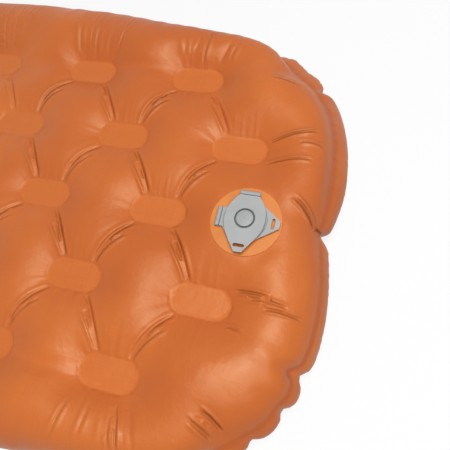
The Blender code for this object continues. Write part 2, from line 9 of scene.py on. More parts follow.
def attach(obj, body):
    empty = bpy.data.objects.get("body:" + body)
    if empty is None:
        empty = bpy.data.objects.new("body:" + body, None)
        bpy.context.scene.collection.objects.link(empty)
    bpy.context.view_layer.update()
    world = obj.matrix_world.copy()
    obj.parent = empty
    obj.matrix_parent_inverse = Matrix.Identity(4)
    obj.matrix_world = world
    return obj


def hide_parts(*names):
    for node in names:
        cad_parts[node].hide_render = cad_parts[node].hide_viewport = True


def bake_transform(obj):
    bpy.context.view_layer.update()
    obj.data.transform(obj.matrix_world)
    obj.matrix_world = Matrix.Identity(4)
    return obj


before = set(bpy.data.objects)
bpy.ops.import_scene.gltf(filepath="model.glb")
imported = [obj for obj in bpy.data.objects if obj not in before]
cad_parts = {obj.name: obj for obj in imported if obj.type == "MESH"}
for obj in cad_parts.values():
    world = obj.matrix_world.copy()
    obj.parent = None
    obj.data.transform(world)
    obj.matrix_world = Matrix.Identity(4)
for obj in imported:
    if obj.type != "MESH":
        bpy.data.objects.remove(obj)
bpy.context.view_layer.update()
print("frame:", len(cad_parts), "nodes")


# outline of the pad

plan = dict(  # metres; the head end, with the valve, is at +X
    length=1.83, shoulderWidth=0.551, headWidth=0.4, footWidth=0.4, shoulderX=0.4,
    headRounding=0.19, footRounding=0.19, squareness=4.0,
    notch=0.014, notchY=0.01, notchSpread=0.06,  # the fold in the head end
    cornerPoints=160, cornerBunch=1.5, sidePoints=120,
)
tiny = 1e-12  # keeps a division from nought
mm = 1000  # in a metre


def sideHalfWidth(x):
    shoulder = plan["shoulderWidth"] / 2
    head, foot = plan["length"] / 2, -plan["length"] / 2
    towardsHead = np.clip((x - plan["shoulderX"]) / (head - plan["shoulderX"]), 0, 1)
    towardsFoot = np.clip((plan["shoulderX"] - x) / (plan["shoulderX"] - foot), 0, 1)
    return (shoulder - (shoulder - plan["headWidth"] / 2) * towardsHead ** 2
            - (shoulder - plan["footWidth"] / 2) * towardsFoot ** 2)


def padOutline():
    power = 2 / plan["squareness"]
    angle = np.pi / 2 * np.linspace(0, 1, plan["cornerPoints"]) ** plan["cornerBunch"]
    rise, drop = np.sin(angle) ** power, 1 - np.cos(angle).clip(0) ** power
    head = plan["length"] / 2 - plan["headRounding"] * drop
    foot = -plan["length"] / 2 + plan["footRounding"] * drop
    side = np.linspace(head[-1], foot[-1], plan["sidePoints"])[1:-1]
    x = np.concatenate([head, side, foot[::-1]])
    y = np.concatenate([sideHalfWidth(head) * rise, sideHalfWidth(side), (sideHalfWidth(foot) * rise)[::-1]])
    fold = plan["notch"] * np.clip(1 - y / welds["rowSpacing"], 0, 1) ** 2
    x = x - np.where(x > 0, fold, 0)
    half = np.stack([x, y], 1)
    whole = np.concatenate([half, (half * (1, -1))[-2:0:-1]])
    atHead = whole[:, 0] > 0
    aside = plan["notchY"] * np.exp(-(whole[:, 1] / plan["notchSpread"]) ** 2) * atHead  # off the middle
    return whole + np.stack([0 * aside, aside], 1)


def lengths(ways):
    return np.linalg.norm(ways, axis=-1)


def unit(ways):
    return ways / lengths(ways)[..., None]


def closed(points):
    return np.concatenate([points, points[:1]])


def runAlong(points):  # how far along a line each of its points is
    return np.concatenate([[0], np.cumsum(lengths(np.diff(points, axis=0)))])


def evenly(points, step):  # closed line with points an even step apart
    loop = closed(points)
    run = runAlong(loop)
    at = np.linspace(0, run[-1], int(round(run[-1] / step)), endpoint=False)
    return np.stack([np.interp(at, run, column) for column in loop.T], 1)


def batches(count, size=1500):
    return [slice(i, i + size) for i in range(0, count, size)]


def nearestSegment(points, starts, ways):  # which it is, the share along it, and the way there
    near, share, off = np.empty(len(points), int), np.empty(len(points)), np.empty((len(points), 2))
    for part in batches(len(points)):
        spot = points[part, None]
        shares = np.clip(((spot - starts) * ways).sum(2) / (ways ** 2).sum(1), 0, 1)
        offs = starts + shares[..., None] * ways - spot
        pick = np.arange(len(offs)), lengths(offs).argmin(1)
        near[part], share[part], off[part] = pick[1], shares[pick], offs[pick]
    return near, share, off


def edgeDistance(points, outline):  # how far inside, the way out, and the run along the outline
    along = np.roll(outline, -1, 0) - outline
    normal = unit(np.stack([along[:, 1], -along[:, 0]], 1))
    turned = unit(normal + np.roll(normal, 1, 0))
    near, share, off = nearestSegment(points, outline, along)
    inside = lengths(off) * np.where((off * normal[near]).sum(1) > 0, 1, -1)
    way = share[:, None]
    outward = turned[near] * (1 - way) + turned[(near + 1) % len(turned)] * way
    run = runAlong(closed(outline))[near] + share * lengths(along)[near]
    return inside, outward, run


# the welds between the two films

welds = dict(  # pill shaped, in staggered rows
    length=0.062, width=0.031, pitch=0.14, rowSpacing=0.084, rowsEachSide=2,
    headToWeld=0.186, edgeMargin=0.042, topZ=0.058, bottomZ=0.012, rim=0.003,
    valveMargin=0.015, cornerShare=0.35, endPoints=40,
)


def weldPlaces(outline):
    places = []
    head = plan["length"] / 2
    for row in range(-welds["rowsEachSide"], welds["rowsEachSide"] + 1):
        x = head - welds["headToWeld"] + welds["pitch"] * (1.5 if row % 2 else 1)  # rows take turns
        while x > -head:
            places.append((x, row * welds["rowSpacing"]))
            x -= welds["pitch"]
    places = np.array(places)
    reach = np.array([[welds["length"] / 2, 0], [welds["length"] * welds["cornerShare"], welds["width"] / 2]])
    corners = np.concatenate([reach, reach * (-1, 1), reach * (1, -1), reach * (-1, -1)])
    spots = (places[:, None] + corners).reshape(-1, 2)
    inside = edgeDistance(spots, outline)[0]
    offValve = lengths(spots - valveAt) > seat["radius"] + welds["valveMargin"]
    keep = ((inside > welds["edgeMargin"]) & offValve).reshape(len(places), -1).all(1)
    return places[keep]


def pillDistance(points, places):  # how far outside the nearest weld, and the nearest point of its rim
    run, radius = (welds["length"] - welds["width"]) / 2, welds["width"] / 2
    gap, rim = np.empty(len(points)), np.empty((len(points), 2))
    for part in batches(len(points)):
        off = points[part, None] - places
        core = np.stack([np.clip(off[..., 0], -run, run), np.zeros(off.shape[:2])], 2)
        away = lengths(off - core)
        pick = np.arange(len(away)), away.argmin(1)
        way = (off - core)[pick] / (away[pick][:, None] + tiny)
        gap[part] = away[pick] - radius
        rim[part] = places[pick[1]] + core[pick] + way * radius
    return gap, rim


def pillLoop(place, grow, step):
    run, radius = (welds["length"] - welds["width"]) / 2, welds["width"] / 2 + grow
    turn = np.linspace(-np.pi / 2, np.pi / 2, welds["endPoints"])
    right = np.stack([run + radius * np.cos(turn), radius * np.sin(turn)], 1)
    return place + evenly(np.concatenate([right, -right]), step)


# the films, laid out flat, joined at the seam and blown up

seat = dict(  # flat ring of film under the valve
    x=0.827, y=0.0, z=0.07, radius=0.0372, hole=0.0198, points=60,
)
valveAt = np.array((seat["x"], seat["y"]))
film = dict(
    fineStep=0.0041, edgeStep=0.005, step=0.0066, fineFrom=0.53,  # mesh, finest at the head
    outlineStep=0.012, edgeBand=0.045, seamWidth=0.0008, touching=1e-4, merge=1e-7,
    loopShare=0.95, edgeShare=0.6, bandShare=0.55, creaseShare=0.4,  # of a mesh step
    growX=1.002, growY=1.004, wallReach=0.042, wallSlack=1.006,  # more film than plan
    wallTo=1.1, wallOver=0.5, mixFrom=0.7, mixOver=0.6,  # of the wall's reach
    upperPuff=0.009, lowerPuff=-0.011, puffReach=0.03, startNoise=0.0004,
    push=3.2e-6, drag=0.965, steps=170, quickSteps=30, rounds=4,
    stiffness=1.5, bend=0.06, seamHold=0.15,
)
walls = dict(  # side views from the seam inwards: distance in from the outline and height, in mm
    upperSide=[(0, 40), (-5.5, 50), (-4, 60), (6, 68.5), (20, 71.5), (42, 70.5)],
    lowerSide=[(0, 40), (-1, 30), (1, 20), (5, 10), (13, 3), (22, 0), (42, 0)],
    upperEnd=[(15, 44), (15.5, 50), (19, 59), (28, 66), (42, 68.5)],
    lowerEnd=[(15, 44), (3, 40.5), (-6, 32), (-8, 22), (-4.5, 12), (4, 4), (17, 0.5), (42, 0)],
    nearCorner=[(15, 44), (0, 44.5), (-10, 42), (-13.5, 35), (-11.5, 24), (-6, 13), (4, 4.5),
                (17, 0.5), (42, 0)],
    farCorner=[(15, 44), (1, 47), (-11, 49), (-19.5, 46), (-22.5, 38.5), (-18.5, 26), (-8, 12), (4, 4),
               (17, 0.5), (42, 0)],
    endFrom=0.22, endTo=0.6,  # how far the outline has turned where the end's wall starts and is whole
    nearShare=[(0.1, 0), (0.25, 0.7), (0.55, 0.6), (0.85, 0.3), (1.0, 0)],  # of the corner's view, by turn
    farShare=[(0.1, 0), (0.17, 0.7), (0.24, 1), (0.4, 1), (0.52, 0.5), (0.85, 0.2), (1.0, 0)],
    nearShift=0.01, nearSpread=0.035, foldWidth=0.01, foldRoom=0.001, pinch=0.8,
    drawnPower=0.7, drawnTo=0.75, shiftPower=dict(upper=1, lower=4),
)
puckers = dict(  # where the wall is drawn in: place, depth, half width, share that the upper film takes
    seen=[(0.9, 0.01, 0.001, 0.012, 1.0), (0.897, -0.128, 0.014, 0.007, 0.8),
          (0.894, -0.162, 0.009, 0.006, 0.3), (0.875, -0.196, 0.008, 0.006, 0.2),
          (0.866, 0.178, 0.014, 0.006, 0.0), (0.806, 0.24, 0.014, 0.006, 0.0),
          (0.771, 0.252, 0.012, 0.006, 0.0), (0.725, 0.258, 0.01, 0.006, 0.0)],
    spacing=0.07, depth=0.011, halfWidth=0.006, footShare=0.7,  # at the foot end, out of the photo
    spacingSpread=(0.6, 1.4), depthSpread=(0.4, 1.2), upperShare=(0, 0.4),
)


def pathPoint(path, share):  # point of a side view, by its share of the way along it
    path = np.array(path) / mm
    run = runAlong(path)
    return [np.interp(share * run[-1], run, column) for column in path.T]


def drawnIn(run, outline):  # depth of the puckers along the outline, in the lower and the upper film
    *startRun, whole = runAlong(closed(outline))
    spots = np.array([spot[:2] for spot in puckers["seen"]])
    seenRun = edgeDistance(spots, outline)[2]
    made = [(at, *spot[2:]) for at, spot in zip(seenRun, puckers["seen"])]
    footEnd = -plan["length"] / 2 + plan["footRounding"] * puckers["footShare"]
    chance = np.random.default_rng(11)
    at = 0.0
    while at < whole:
        if np.interp(at, startRun, outline[:, 0]) < footEnd:
            depth = puckers["depth"] * chance.uniform(*puckers["depthSpread"])
            made.append((at, depth, puckers["halfWidth"], chance.uniform(*puckers["upperShare"])))
        at += puckers["spacing"] * chance.uniform(*puckers["spacingSpread"])
    lower, upper = np.zeros(len(run)), np.zeros(len(run))
    for at, deep, wide, share in made:
        apart = np.abs((run - at + whole / 2) % whole - whole / 2)
        lower = np.maximum(lower, deep * np.exp(-apart / wide))
        upper = np.maximum(upper, deep * share * np.exp(-apart / wide))
    return lower, upper


def lattice(step, outline):
    half, wide = plan["length"] / 2, plan["shoulderWidth"] / 2
    rows = np.arange(-wide, wide, step * math.sqrt(3) / 2)
    x = np.arange(-half, half, step)
    made = [np.stack([x + step / 2 * (i % 2), np.full(len(x), y)], 1) for i, y in enumerate(rows)]
    spots = np.concatenate(made)
    inside = edgeDistance(spots, outline)[0]
    kept = inside > step * film["edgeShare"]
    return spots[kept], inside[kept]


def filmPlan(outline, coarse, places, lines):  # flat mesh with the outline, welds, seat and creases in it
    loops = [evenly(outline, film["edgeStep"])]
    for place in places:
        step = (film["fineStep"] if place[0] > film["fineFrom"] else film["edgeStep"]) * film["loopShare"]
        loops += [pillLoop(place, 0, step), pillLoop(place, welds["rim"], step)]
    loops += [valveAt + ringLoop(seat["radius"] + out, seat["points"]) for out in (0, welds["rim"])]
    kept = []
    for step, isFine, isEdge in ((film["fineStep"], 1, 0), (film["edgeStep"], 0, 1), (film["step"], 0, 0)):
        spots, inside = lattice(step, coarse)
        pick = spots[:, 0] > film["fineFrom"] if isFine else spots[:, 0] <= film["fineFrom"] - step / 2
        if not isFine:
            pick &= inside <= film["edgeBand"] if isEdge else inside > film["edgeBand"] + step / 2
        spots = spots[pick]
        clear = nearestCrease(spots, lines)[0] > step * film["creaseShare"]
        band = step * film["bandShare"]
        for gap in (pillDistance(spots, places)[0], lengths(spots - valveAt) - seat["radius"]):
            clear &= (gap < -band) | (gap > welds["rim"] + band)
        kept.append(spots[clear])
    edges, count = [], 0
    for loop in loops:
        edges += [(count + i, count + (i + 1) % len(loop)) for i in range(len(loop))]
        count += len(loop)
    chains = [line for line, _, _, _ in lines]
    for chain in chains:
        edges += [(count + i, count + i + 1) for i in range(len(chain) - 1)]
        count += len(chain)
    points = np.concatenate(loops + chains + kept)
    found = delaunay_2d_cdt([Vector(p) for p in points], edges, [], 1, film["merge"])
    flat, faces = np.array([tuple(p) for p in found[0]]), np.array(found[2])
    sides = flat[faces]
    first, second = sides[:, 1] - sides[:, 0], sides[:, 2] - sides[:, 0]
    turned = first[:, 0] * second[:, 1] - first[:, 1] * second[:, 0] < 0
    faces[turned] = faces[turned][:, ::-1]
    return flat, faces


def filmStart(flat, inside, outward, drawn, pill, side):  # a film before it is blown up
    reach = film["wallReach"]
    share = np.clip(inside / reach, 0, 1)
    turn = np.abs(outward[:, 0])  # nought on the long sides, 1 across the ends
    atEnd = np.clip((turn - walls["endFrom"]) / (walls["endTo"] - walls["endFrom"]), 0, 1)
    atEnd = atEnd * atEnd * (3 - 2 * atEnd)
    sideInset, sideHeight = pathPoint(walls[side + "Side"], share)
    endInset, endHeight = pathPoint(walls[side + "End"], share)
    inset = sideInset + (endInset - sideInset) * atEnd
    height = sideHeight + (endHeight - sideHeight) * atEnd
    past = flat[:, 1] - plan["notchY"]
    atHead = atEnd * (flat[:, 0] > 0)
    fold = np.exp(-(past / walls["foldWidth"]) ** 2) * atHead  # the lobes of the head end meet there
    near = np.where(past < 0, 1, np.exp(-(past / walls["nearSpread"]) ** 2)) * atHead
    shift = walls["nearShift"] * near * (1 - share) ** walls["shiftPower"][side]  # out on the near side
    inset = inset + drawn[1] * (1 - share) ** walls["drawnPower"] - shift
    if side == "lower":
        for corner, there in (("near", flat[:, 1] < 0), ("far", flat[:, 1] >= 0)):
            weight = np.interp(turn, *np.array(walls[corner + "Share"]).T) * (there & (flat[:, 0] > 0))
            cornerInset, cornerHeight = pathPoint(walls[corner + "Corner"], share)
            inset = inset + (cornerInset - endInset) * weight
            height = height + (cornerHeight - endHeight) * weight
        inset = inset + (drawn[0] - drawn[1]) * np.sin(np.pi * np.clip(share / walls["drawnTo"], 0, 1))
        inset = inset + fold * np.maximum(walls["foldRoom"] - inset, 0)
    place = np.zeros((len(flat), 3))
    place[:, :2] = flat + outward * (np.minimum(inside, reach) - inset)[:, None]
    place[:, 1] += (plan["notchY"] - place[:, 1]) * walls["pinch"] * fold * (1 - share)
    level = welds["topZ" if side == "upper" else "bottomZ"]
    crown = level + film[side + "Puff"] * np.clip(pill / film["puffReach"], 0, 1)
    mix = np.clip((inside - reach * film["mixFrom"]) / (reach * film["mixOver"]), 0, 1)
    place[:, 2] = height * (1 - mix) + crown * mix
    place[pill < film["touching"], 2] = level
    return place


def inflateFilms():
    outline = padOutline()
    coarse = evenly(outline, film["outlineStep"])
    places = weldPlaces(coarse)
    lines = creaseLines(places, coarse)
    flat, faces = filmPlan(outline, coarse, places, lines)
    inside, outward, run = edgeDistance(flat, coarse)
    onSeam = inside < film["seamWidth"]
    inside = np.maximum(inside, 0)
    inside[onSeam] = 0
    pill, rim = pillDistance(flat, places)
    drawn = drawnIn(run, coarse)
    count = len(flat)
    total = count + (~onSeam).sum()
    bottom = np.arange(count)
    bottom[~onSeam] = np.arange(count, total)
    print("films:", len(places), "welds,", total, "points")

    top3, bottom3 = [filmStart(flat, inside, outward, drawn, pill, side) for side in ("upper", "lower")]
    pairs = np.concatenate([faces[:, [0, 1]], faces[:, [1, 2]], faces[:, [2, 0]]])
    pairs = np.unique(np.sort(pairs, 1), axis=0)
    seamShadeEdge = onSeam[pairs].all(1)
    a, b = pairs.T
    cut = lengths((flat[a] - flat[b]) * (film["growX"], film["growY"]))
    reach = film["wallReach"]
    wall = np.clip((reach * film["wallTo"] - inside[pairs].mean(1)) / (reach * film["wallOver"]), 0, 1)
    rests = []
    for place in (top3, bottom3):
        shaped = lengths(place[a] - place[b]) * film["wallSlack"]
        rests.append(cut * (1 - wall) + shaped * wall)
    rest = np.concatenate([rests[0], rests[1][~seamShadeEdge]])
    a, b = [np.concatenate([end, bottom[end[~seamShadeEdge]]]) for end in (a, b)]

    place = np.zeros((total, 3))
    place[bottom] = bottom3
    place[:count] = top3
    onWeld = pill < film["touching"]
    onSeat = lengths(flat - valveAt) < seat["radius"] + film["touching"]
    place[:count][onSeat, 2] = seat["z"]
    held = np.zeros(total, bool)
    held[:count] = onWeld | onSeat
    held[bottom[onWeld]] = True
    goal = place.copy()
    chance = np.random.default_rng(5)
    place[~held, 2] += chance.normal(0, film["startNoise"], (~held).sum())
    allFaces = np.concatenate([faces, bottom[faces][:, ::-1]])
    place = blowUp(place, goal, held, np.where(onSeam)[0], a, b, rest, allFaces)
    marks = {"pill": pill, "rim": rim, "run": run, "wall": inside}
    marks.update(creaseMarks(flat, lines))
    across = marks["creaseAcross"] * marks["creaseWidth"]
    valley = marks["creaseBroad"] * np.exp(-(across / creases["valleyWidth"]) ** 2)
    place[:count, 2] -= np.where(held[:count], 0, valley)
    print("creased: top", place[:, 2].max().round(4))
    return place, faces, bottom, marks


# creases in the upper film: between neighbouring welds, and from the outer welds to the edge

creases = dict(  # seen: the two ends of a line, its width and its depth, in mm
    corner=(0.0215, 0.0175), width=0.0018, depth=0.0014, valley=0.0022, valleyWidth=0.006,
    bow={-1: 0.006, 1: 0.003}, bowSpread=(0.7, 1.3), depthSpread=(0.7, 1.2), endShare=0.8,
    step=0.0038, leastPoints=4, taper=0.3, farWidths=9, seenBow=0.0015, lowerShare=0.4,
    innerFrom=(0.2, 0.32), innerAside=(0.0055, 0.001), innerEnd=0.002,  # a smaller line beside it
    innerBow=0.5, innerWidth=0.8, innerDepth=0.7,
    seen=[(818, -186, 839, -198, 1.4, 1.5), (826, -177, 848, -191, 1.4, 1.5),
          (748, -193, 760, -219, 1.3, 1.0), (869, 33, 894, 11, 1.6, 2.0),
          (821, 170, 854, 167, 1.4, 0.9), (831, 95, 881, 111, 1.2, 1.3),
          (863, 95, 891, 95, 1.2, 1.0), (834, 70, 879, 77, 1.2, 1.0), (832, -68, 865, -69, 1.3, 1.3),
          (847, -73, 882, -75, 1.3, 1.3), (862, -80, 895, -82, 1.3, 1.3), (830, -102, 847, -106, 1.2, 0.7)],
)
fans = dict(  # slight folds from the outer welds to the edge, but not beside the valve
    reach=0.125, depth=0.0005, width=0.0018, valveX=0.78, valveY=0.1, rootShare=0.42,
    wideFrom=0.02, counts=(4, 5), jitter=0.15, foot=(0.002, 0.012), tipGap=(0.012, 0.028),
    least=0.012, splay=(1.1, 1.7), bow=0.002, widthSpread=(0.7, 1.3), depthSpread=(0.5, 1.3),
)


def bowed(start, end, bow):  # line that bows to its left
    start, end = np.array(start), np.array(end)
    way = end - start
    count = max(creases["leastPoints"], int(np.linalg.norm(way) / creases["step"]) + 1)
    left = np.array((-way[1], way[0])) / np.linalg.norm(way)
    t = np.linspace(0, 1, count)[:, None]
    return start + way * t + left * bow * 4 * t * (1 - t)


def creaseLines(places, outline):  # each is a line, its width, its depth and the depth of its broad valley
    seen = np.array(creases["seen"]) / mm
    lines = [(bowed(row[:2], row[2:4], creases["seenBow"]), *row[4:], 0) for row in seen]
    known = {(round(x, 4), round(y, 4)) for x, y in places}
    cornerX, cornerY = creases["corner"]
    asideX, asideY = creases["innerAside"]
    chance = np.random.default_rng(3)
    for x, y in places:
        for side in (-1, 1):
            below = (round(x + side * welds["pitch"] / 2, 4), round(y - welds["rowSpacing"], 4))
            if below not in known:
                continue
            start = np.array((x + side * cornerX, y - cornerY))
            end = np.array((below[0] - side * cornerX * creases["endShare"], below[1] + cornerY))
            bow = creases["bow"][side] * side * chance.uniform(*creases["bowSpread"])
            depth = creases["depth"] * chance.uniform(*creases["depthSpread"])
            lines.append((bowed(start, end, bow), creases["width"], depth, creases["valley"]))
            inner = start + (end - start) * chance.uniform(*creases["innerFrom"]) - (side * asideX, asideY)
            innerEnd = end - (side * creases["innerEnd"], 0)
            lines.append((bowed(inner, innerEnd, bow * creases["innerBow"]),
                          creases["width"] * creases["innerWidth"], depth * creases["innerDepth"], 0))
    return lines + fanLines(places, outline, chance)


def fanLines(places, outline, chance):
    lines = []
    long, wide, root = welds["length"], welds["width"], fans["rootShare"]
    inside, outward, _ = edgeDistance(places, outline)
    for weld, gap, out in zip(places, inside, outward):
        if gap > fans["reach"] or (weld[0] > fans["valveX"] and abs(weld[1]) < fans["valveY"]):
            continue
        across = np.array((-out[1], out[0]))
        half = abs(across[0]) * long * root + abs(across[1]) * wide * root
        rim = abs(out[0]) * long / 2 + abs(out[1]) * wide / 2
        count = fans["counts"][int(half > fans["wideFrom"])]
        for share in np.linspace(-1, 1, count) + chance.uniform(-fans["jitter"], fans["jitter"], count):
            foot = rim + chance.uniform(*fans["foot"])
            tip = max(gap - chance.uniform(*fans["tipGap"]), foot + fans["least"])
            aside = across * half * share
            start = weld + aside + out * foot
            end = weld + aside * chance.uniform(*fans["splay"]) + out * tip
            line = bowed(start, end, chance.uniform(-fans["bow"], fans["bow"]))
            width = fans["width"] * chance.uniform(*fans["widthSpread"])
            lines.append((line, width, fans["depth"] * chance.uniform(*fans["depthSpread"]), 0))
    return lines


def nearestCrease(points, lines):  # distance to the nearest crease, the share along it, and which it is
    chains = [line for line, _, _, _ in lines]
    counts = np.array([len(chain) - 1 for chain in chains])
    starts = np.concatenate([chain[:-1] for chain in chains])
    ways = np.concatenate([chain[1:] for chain in chains]) - starts
    near, share, off = nearestSegment(points, starts, ways)
    which = np.repeat(np.arange(len(chains)), counts)[near]
    order = np.concatenate([np.arange(count) for count in counts])[near]
    return lengths(off), (order + share) / counts[which], which


def creaseMarks(flat, lines):
    gap, along, which = nearestCrease(flat, lines)
    width, depth, broad = np.array([row[1:] for row in lines])[which].T
    taper = np.sin(np.pi * np.clip(along, 0, 1)).clip(0) ** creases["taper"]
    return {"creaseAcross": np.minimum(gap / width, creases["farWidths"]), "creaseWidth": width,
            "creaseDepth": depth * taper, "creaseBroad": broad * taper}


def scatter(index, values, total):
    return np.stack([np.bincount(index, values[:, i], total) for i in range(3)], 1)


def blowUp(place, goal, held, seam, a, b, rest, faces):  # pushed along the normals, with edges kept at length
    total = len(place)
    degree = np.bincount(a, minlength=total) + np.bincount(b, minlength=total)
    last = place.copy()
    share = (film["stiffness"] / degree)[:, None]
    free = ~held[:, None]
    for _ in range(film["steps"]):
        corner = place[faces]
        normal = np.cross(corner[:, 1] - corner[:, 0], corner[:, 2] - corner[:, 0])
        push = scatter(faces.ravel(), np.repeat(normal, 3, 0), total)
        push /= lengths(push)[:, None] + tiny
        moved = place + (place - last) * film["drag"] + push * film["push"]
        last = place
        place = np.where(free, moved, goal)
        for _ in range(film["rounds"]):
            off = place[b] - place[a]
            length = lengths(off)
            pull = off * ((length - rest) / (length + tiny) / 2)[:, None]
            place = place + (scatter(a, pull, total) - scatter(b, pull, total)) * share * free
        sag = (scatter(a, place[b], total) + scatter(b, place[a], total)) / degree[:, None] - place
        curl = (scatter(a, sag[b], total) + scatter(b, sag[a], total)) / degree[:, None] - sag
        place = place - curl * film["bend"] * free
        place[seam] += (goal[seam] - place[seam]) * film["seamHold"]
        place[:, 2] = np.maximum(place[:, 2], 0)
    stretch = np.percentile(lengths(place[b] - place[a]) / rest, [1, 50, 99])
    print("blown up: stretch", stretch.round(3), "top", place[:, 2].max().round(4))
    return place


def addObject(name, data):
    made = bpy.data.objects.new(name, data)
    bpy.context.collection.objects.link(made)
    return made


def filmPiece(name, points, faces, marks):
    used = np.unique(faces)
    mesh = bpy.data.meshes.new(name)
    mesh.from_pydata(points[used].tolist(), [], np.searchsorted(used, faces).tolist())
    mesh.shade_smooth()
    for mark in ("pill", "run", "wall", "creaseAcross", "creaseDepth"):
        layer = mesh.attributes.new(mark, "FLOAT", "POINT")
        layer.data.foreach_set("value", marks[mark][used].astype(np.float32))
    layer = mesh.attributes.new("rim", "FLOAT_VECTOR", "POINT")
    rim = np.concatenate([marks["rim"][used], np.zeros((len(used), 1))], 1)
    layer.data.foreach_set("vector", rim.astype(np.float32).ravel())
    return addObject(name, mesh)


def valveOpening(points, faces):  # cuts the hole for the valve and draws its rim onto a circle
    off = points[:, :2] - valveAt
    away = lengths(off)
    cut = (away[faces] < seat["hole"]).any(1)
    rim = np.unique(faces[cut])
    rim = rim[away[rim] >= seat["hole"]]
    points = points.copy()
    points[rim, :2] = valveAt + off[rim] * (seat["hole"] / away[rim])[:, None]
    return points, faces[~cut]


def makeFilms(material):
    place, faces, bottom, marks = inflateFilms()
    flatCount = len(bottom)
    upper = filmPiece("upperFilm", *valveOpening(place[:flatCount], faces), marks)
    marks["creaseDepth"] = marks["creaseDepth"] * creases["lowerShare"]  # it lies pressed on the floor
    lower = filmPiece("lowerFilm", place[bottom], faces[:, ::-1], marks)
    for piece, node in ((upper, "upper_film"), (lower, "lower_film")):
        piece.data.materials.append(material)
        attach(piece, "pad")
        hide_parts(node)


# tools for the valve's moulded pieces; sizes are from the valve's axis and the film's top

mould = dict(
    cornerShare=0.45, sharpAngle=40, smallEdge=0.0004, capStep=0.0004, capSoft=0.0006,
    tongueStep=0.0005, tongueSoft=0.0004, parallel=1e-6,
)


def smoothLoop(points, step, soft):  # even steps, corners rounded by a soft brush
    loop = evenly(np.array(points), step)
    reach = int(3 * soft / step) + 1
    brush = np.exp(-0.5 * (np.arange(-reach, reach + 1) * step / soft) ** 2)
    brush /= brush.sum()
    long = np.concatenate([loop[-reach:], loop, loop[:reach]])
    return np.stack([np.convolve(long[:, i], brush, "valid") for i in range(2)], 1)


def grownLoop(loop, out):  # a loop that runs anticlockwise, moved outwards
    along = unit(np.roll(loop, -1, 0) - np.roll(loop, 1, 0))
    return loop + np.stack([along[:, 1], -along[:, 0]], 1) * out


def ringLoop(radius, count=96):
    turn = np.linspace(0, 2 * np.pi, count, endpoint=False)
    return np.stack([radius * np.cos(turn), radius * np.sin(turn)], 1)


def quarterTurned(points, quarters):
    for _ in range(quarters % 4):
        points = np.stack([-points[:, 1], points[:, 0], *points.T[2:]], 1)
    return points


def plateMesh(outline, holes, low, high, edge):  # flat plate with rounded edges
    curve = bpy.data.curves.new("plate", "CURVE")
    curve.dimensions, curve.fill_mode = "2D", "BOTH"
    curve.extrude, curve.bevel_depth, curve.bevel_resolution = (high - low) / 2 - edge, edge, 3
    for loop in [grownLoop(outline, -edge)] + [grownLoop(hole, edge) for hole in holes]:
        spline = curve.splines.new("POLY")
        spline.points.add(len(loop) - 1)
        spots = np.concatenate([loop, np.tile((0.0, 1.0), (len(loop), 1))], 1)
        spline.points.foreach_set("co", spots.ravel())
        spline.use_cyclic_u = True
    maker = bpy.data.objects.new("plate", curve)
    mesh = bpy.data.meshes.new_from_object(maker)
    bpy.data.objects.remove(maker)
    mesh.transform(Matrix.Translation((0, 0, (low + high) / 2)))
    return mesh


def roundedProfile(points, radius, steps=4):  # closed side view with its corners rounded
    made = []
    for i, corner in enumerate(points):
        corner = Vector(corner)
        before, after = Vector(points[i - 1]) - corner, Vector(points[(i + 1) % len(points)]) - corner
        back = min(radius, before.length * mould["cornerShare"], after.length * mould["cornerShare"])
        start, end = corner + before.normalized() * back, corner + after.normalized() * back
        for j in range(steps + 1):
            t = j / steps
            made.append(start * (1 - t) ** 2 + corner * 2 * t * (1 - t) + end * t ** 2)
    return made


def turnedMesh(profile, radius, segments=96):  # a ring turned from its side view
    profile = roundedProfile(profile, radius)
    turn = np.linspace(0, 2 * np.pi, segments, endpoint=False)
    count = len(profile)
    points = [(r * math.cos(t), r * math.sin(t), z) for t in turn for r, z in profile]
    faces = [(i * count + j, (i + 1) % segments * count + j, (i + 1) % segments * count + (j + 1) % count,
              i * count + (j + 1) % count) for i in range(segments) for j in range(count)]
    mesh = bpy.data.meshes.new("turned")
    mesh.from_pydata(points, [], faces)
    return mesh


def mouldedPiece(name, meshes, material):  # meshes put together, with flat faces shaded flat
    points, faces = [], []
    for mesh in meshes:
        base = len(points)
        points += [tuple(v.co) for v in mesh.vertices]
        faces += [[base + v for v in face.vertices] for face in mesh.polygons]
    whole = bpy.data.meshes.new(name)
    whole.from_pydata([(x + seat["x"], y + seat["y"], z + seat["z"]) for x, y, z in points], [], faces)
    whole.validate()
    whole.shade_smooth()
    whole.set_sharp_from_angle(angle=math.radians(mould["sharpAngle"]))
    whole.materials.append(material)
    piece = addObject(name, whole)
    weigh = piece.modifiers.new("flatFaces", "WEIGHTED_NORMAL")
    weigh.keep_sharp = True
    done = bpy.data.meshes.new_from_object(piece.evaluated_get(bpy.context.evaluated_depsgraph_get()))
    piece.modifiers.clear()
    piece.data = done
    done.name = name
    return piece


# the valve

tabs = dict(
    reach=0.0342, tipHalf=0.0038, slotReach=0.0276, slotLength=0.011, slotWidth=0.0031,
    slotPoints=14,
)


def slotLoop(quarters):
    radius = tabs["slotWidth"] / 2
    run = tabs["slotLength"] / 2 - radius
    turn = np.linspace(0, np.pi, tabs["slotPoints"])
    end = np.stack([radius * np.cos(turn), run + radius * np.sin(turn)], 1)
    return quarterTurned(np.concatenate([end, -end]) + (tabs["slotReach"], 0), quarters)


def tongueLoop(inner, outer, half, quarters):
    corners = [(inner, -half), (outer, -half), (outer, half), (inner, half)]
    return quarterTurned(smoothLoop(corners, mould["tongueStep"], mould["tongueSoft"]), quarters)


patch = dict(radius=0.0357, hole=0.0198, low=0.0003, high=0.0011, edge=0.0004, segments=128)


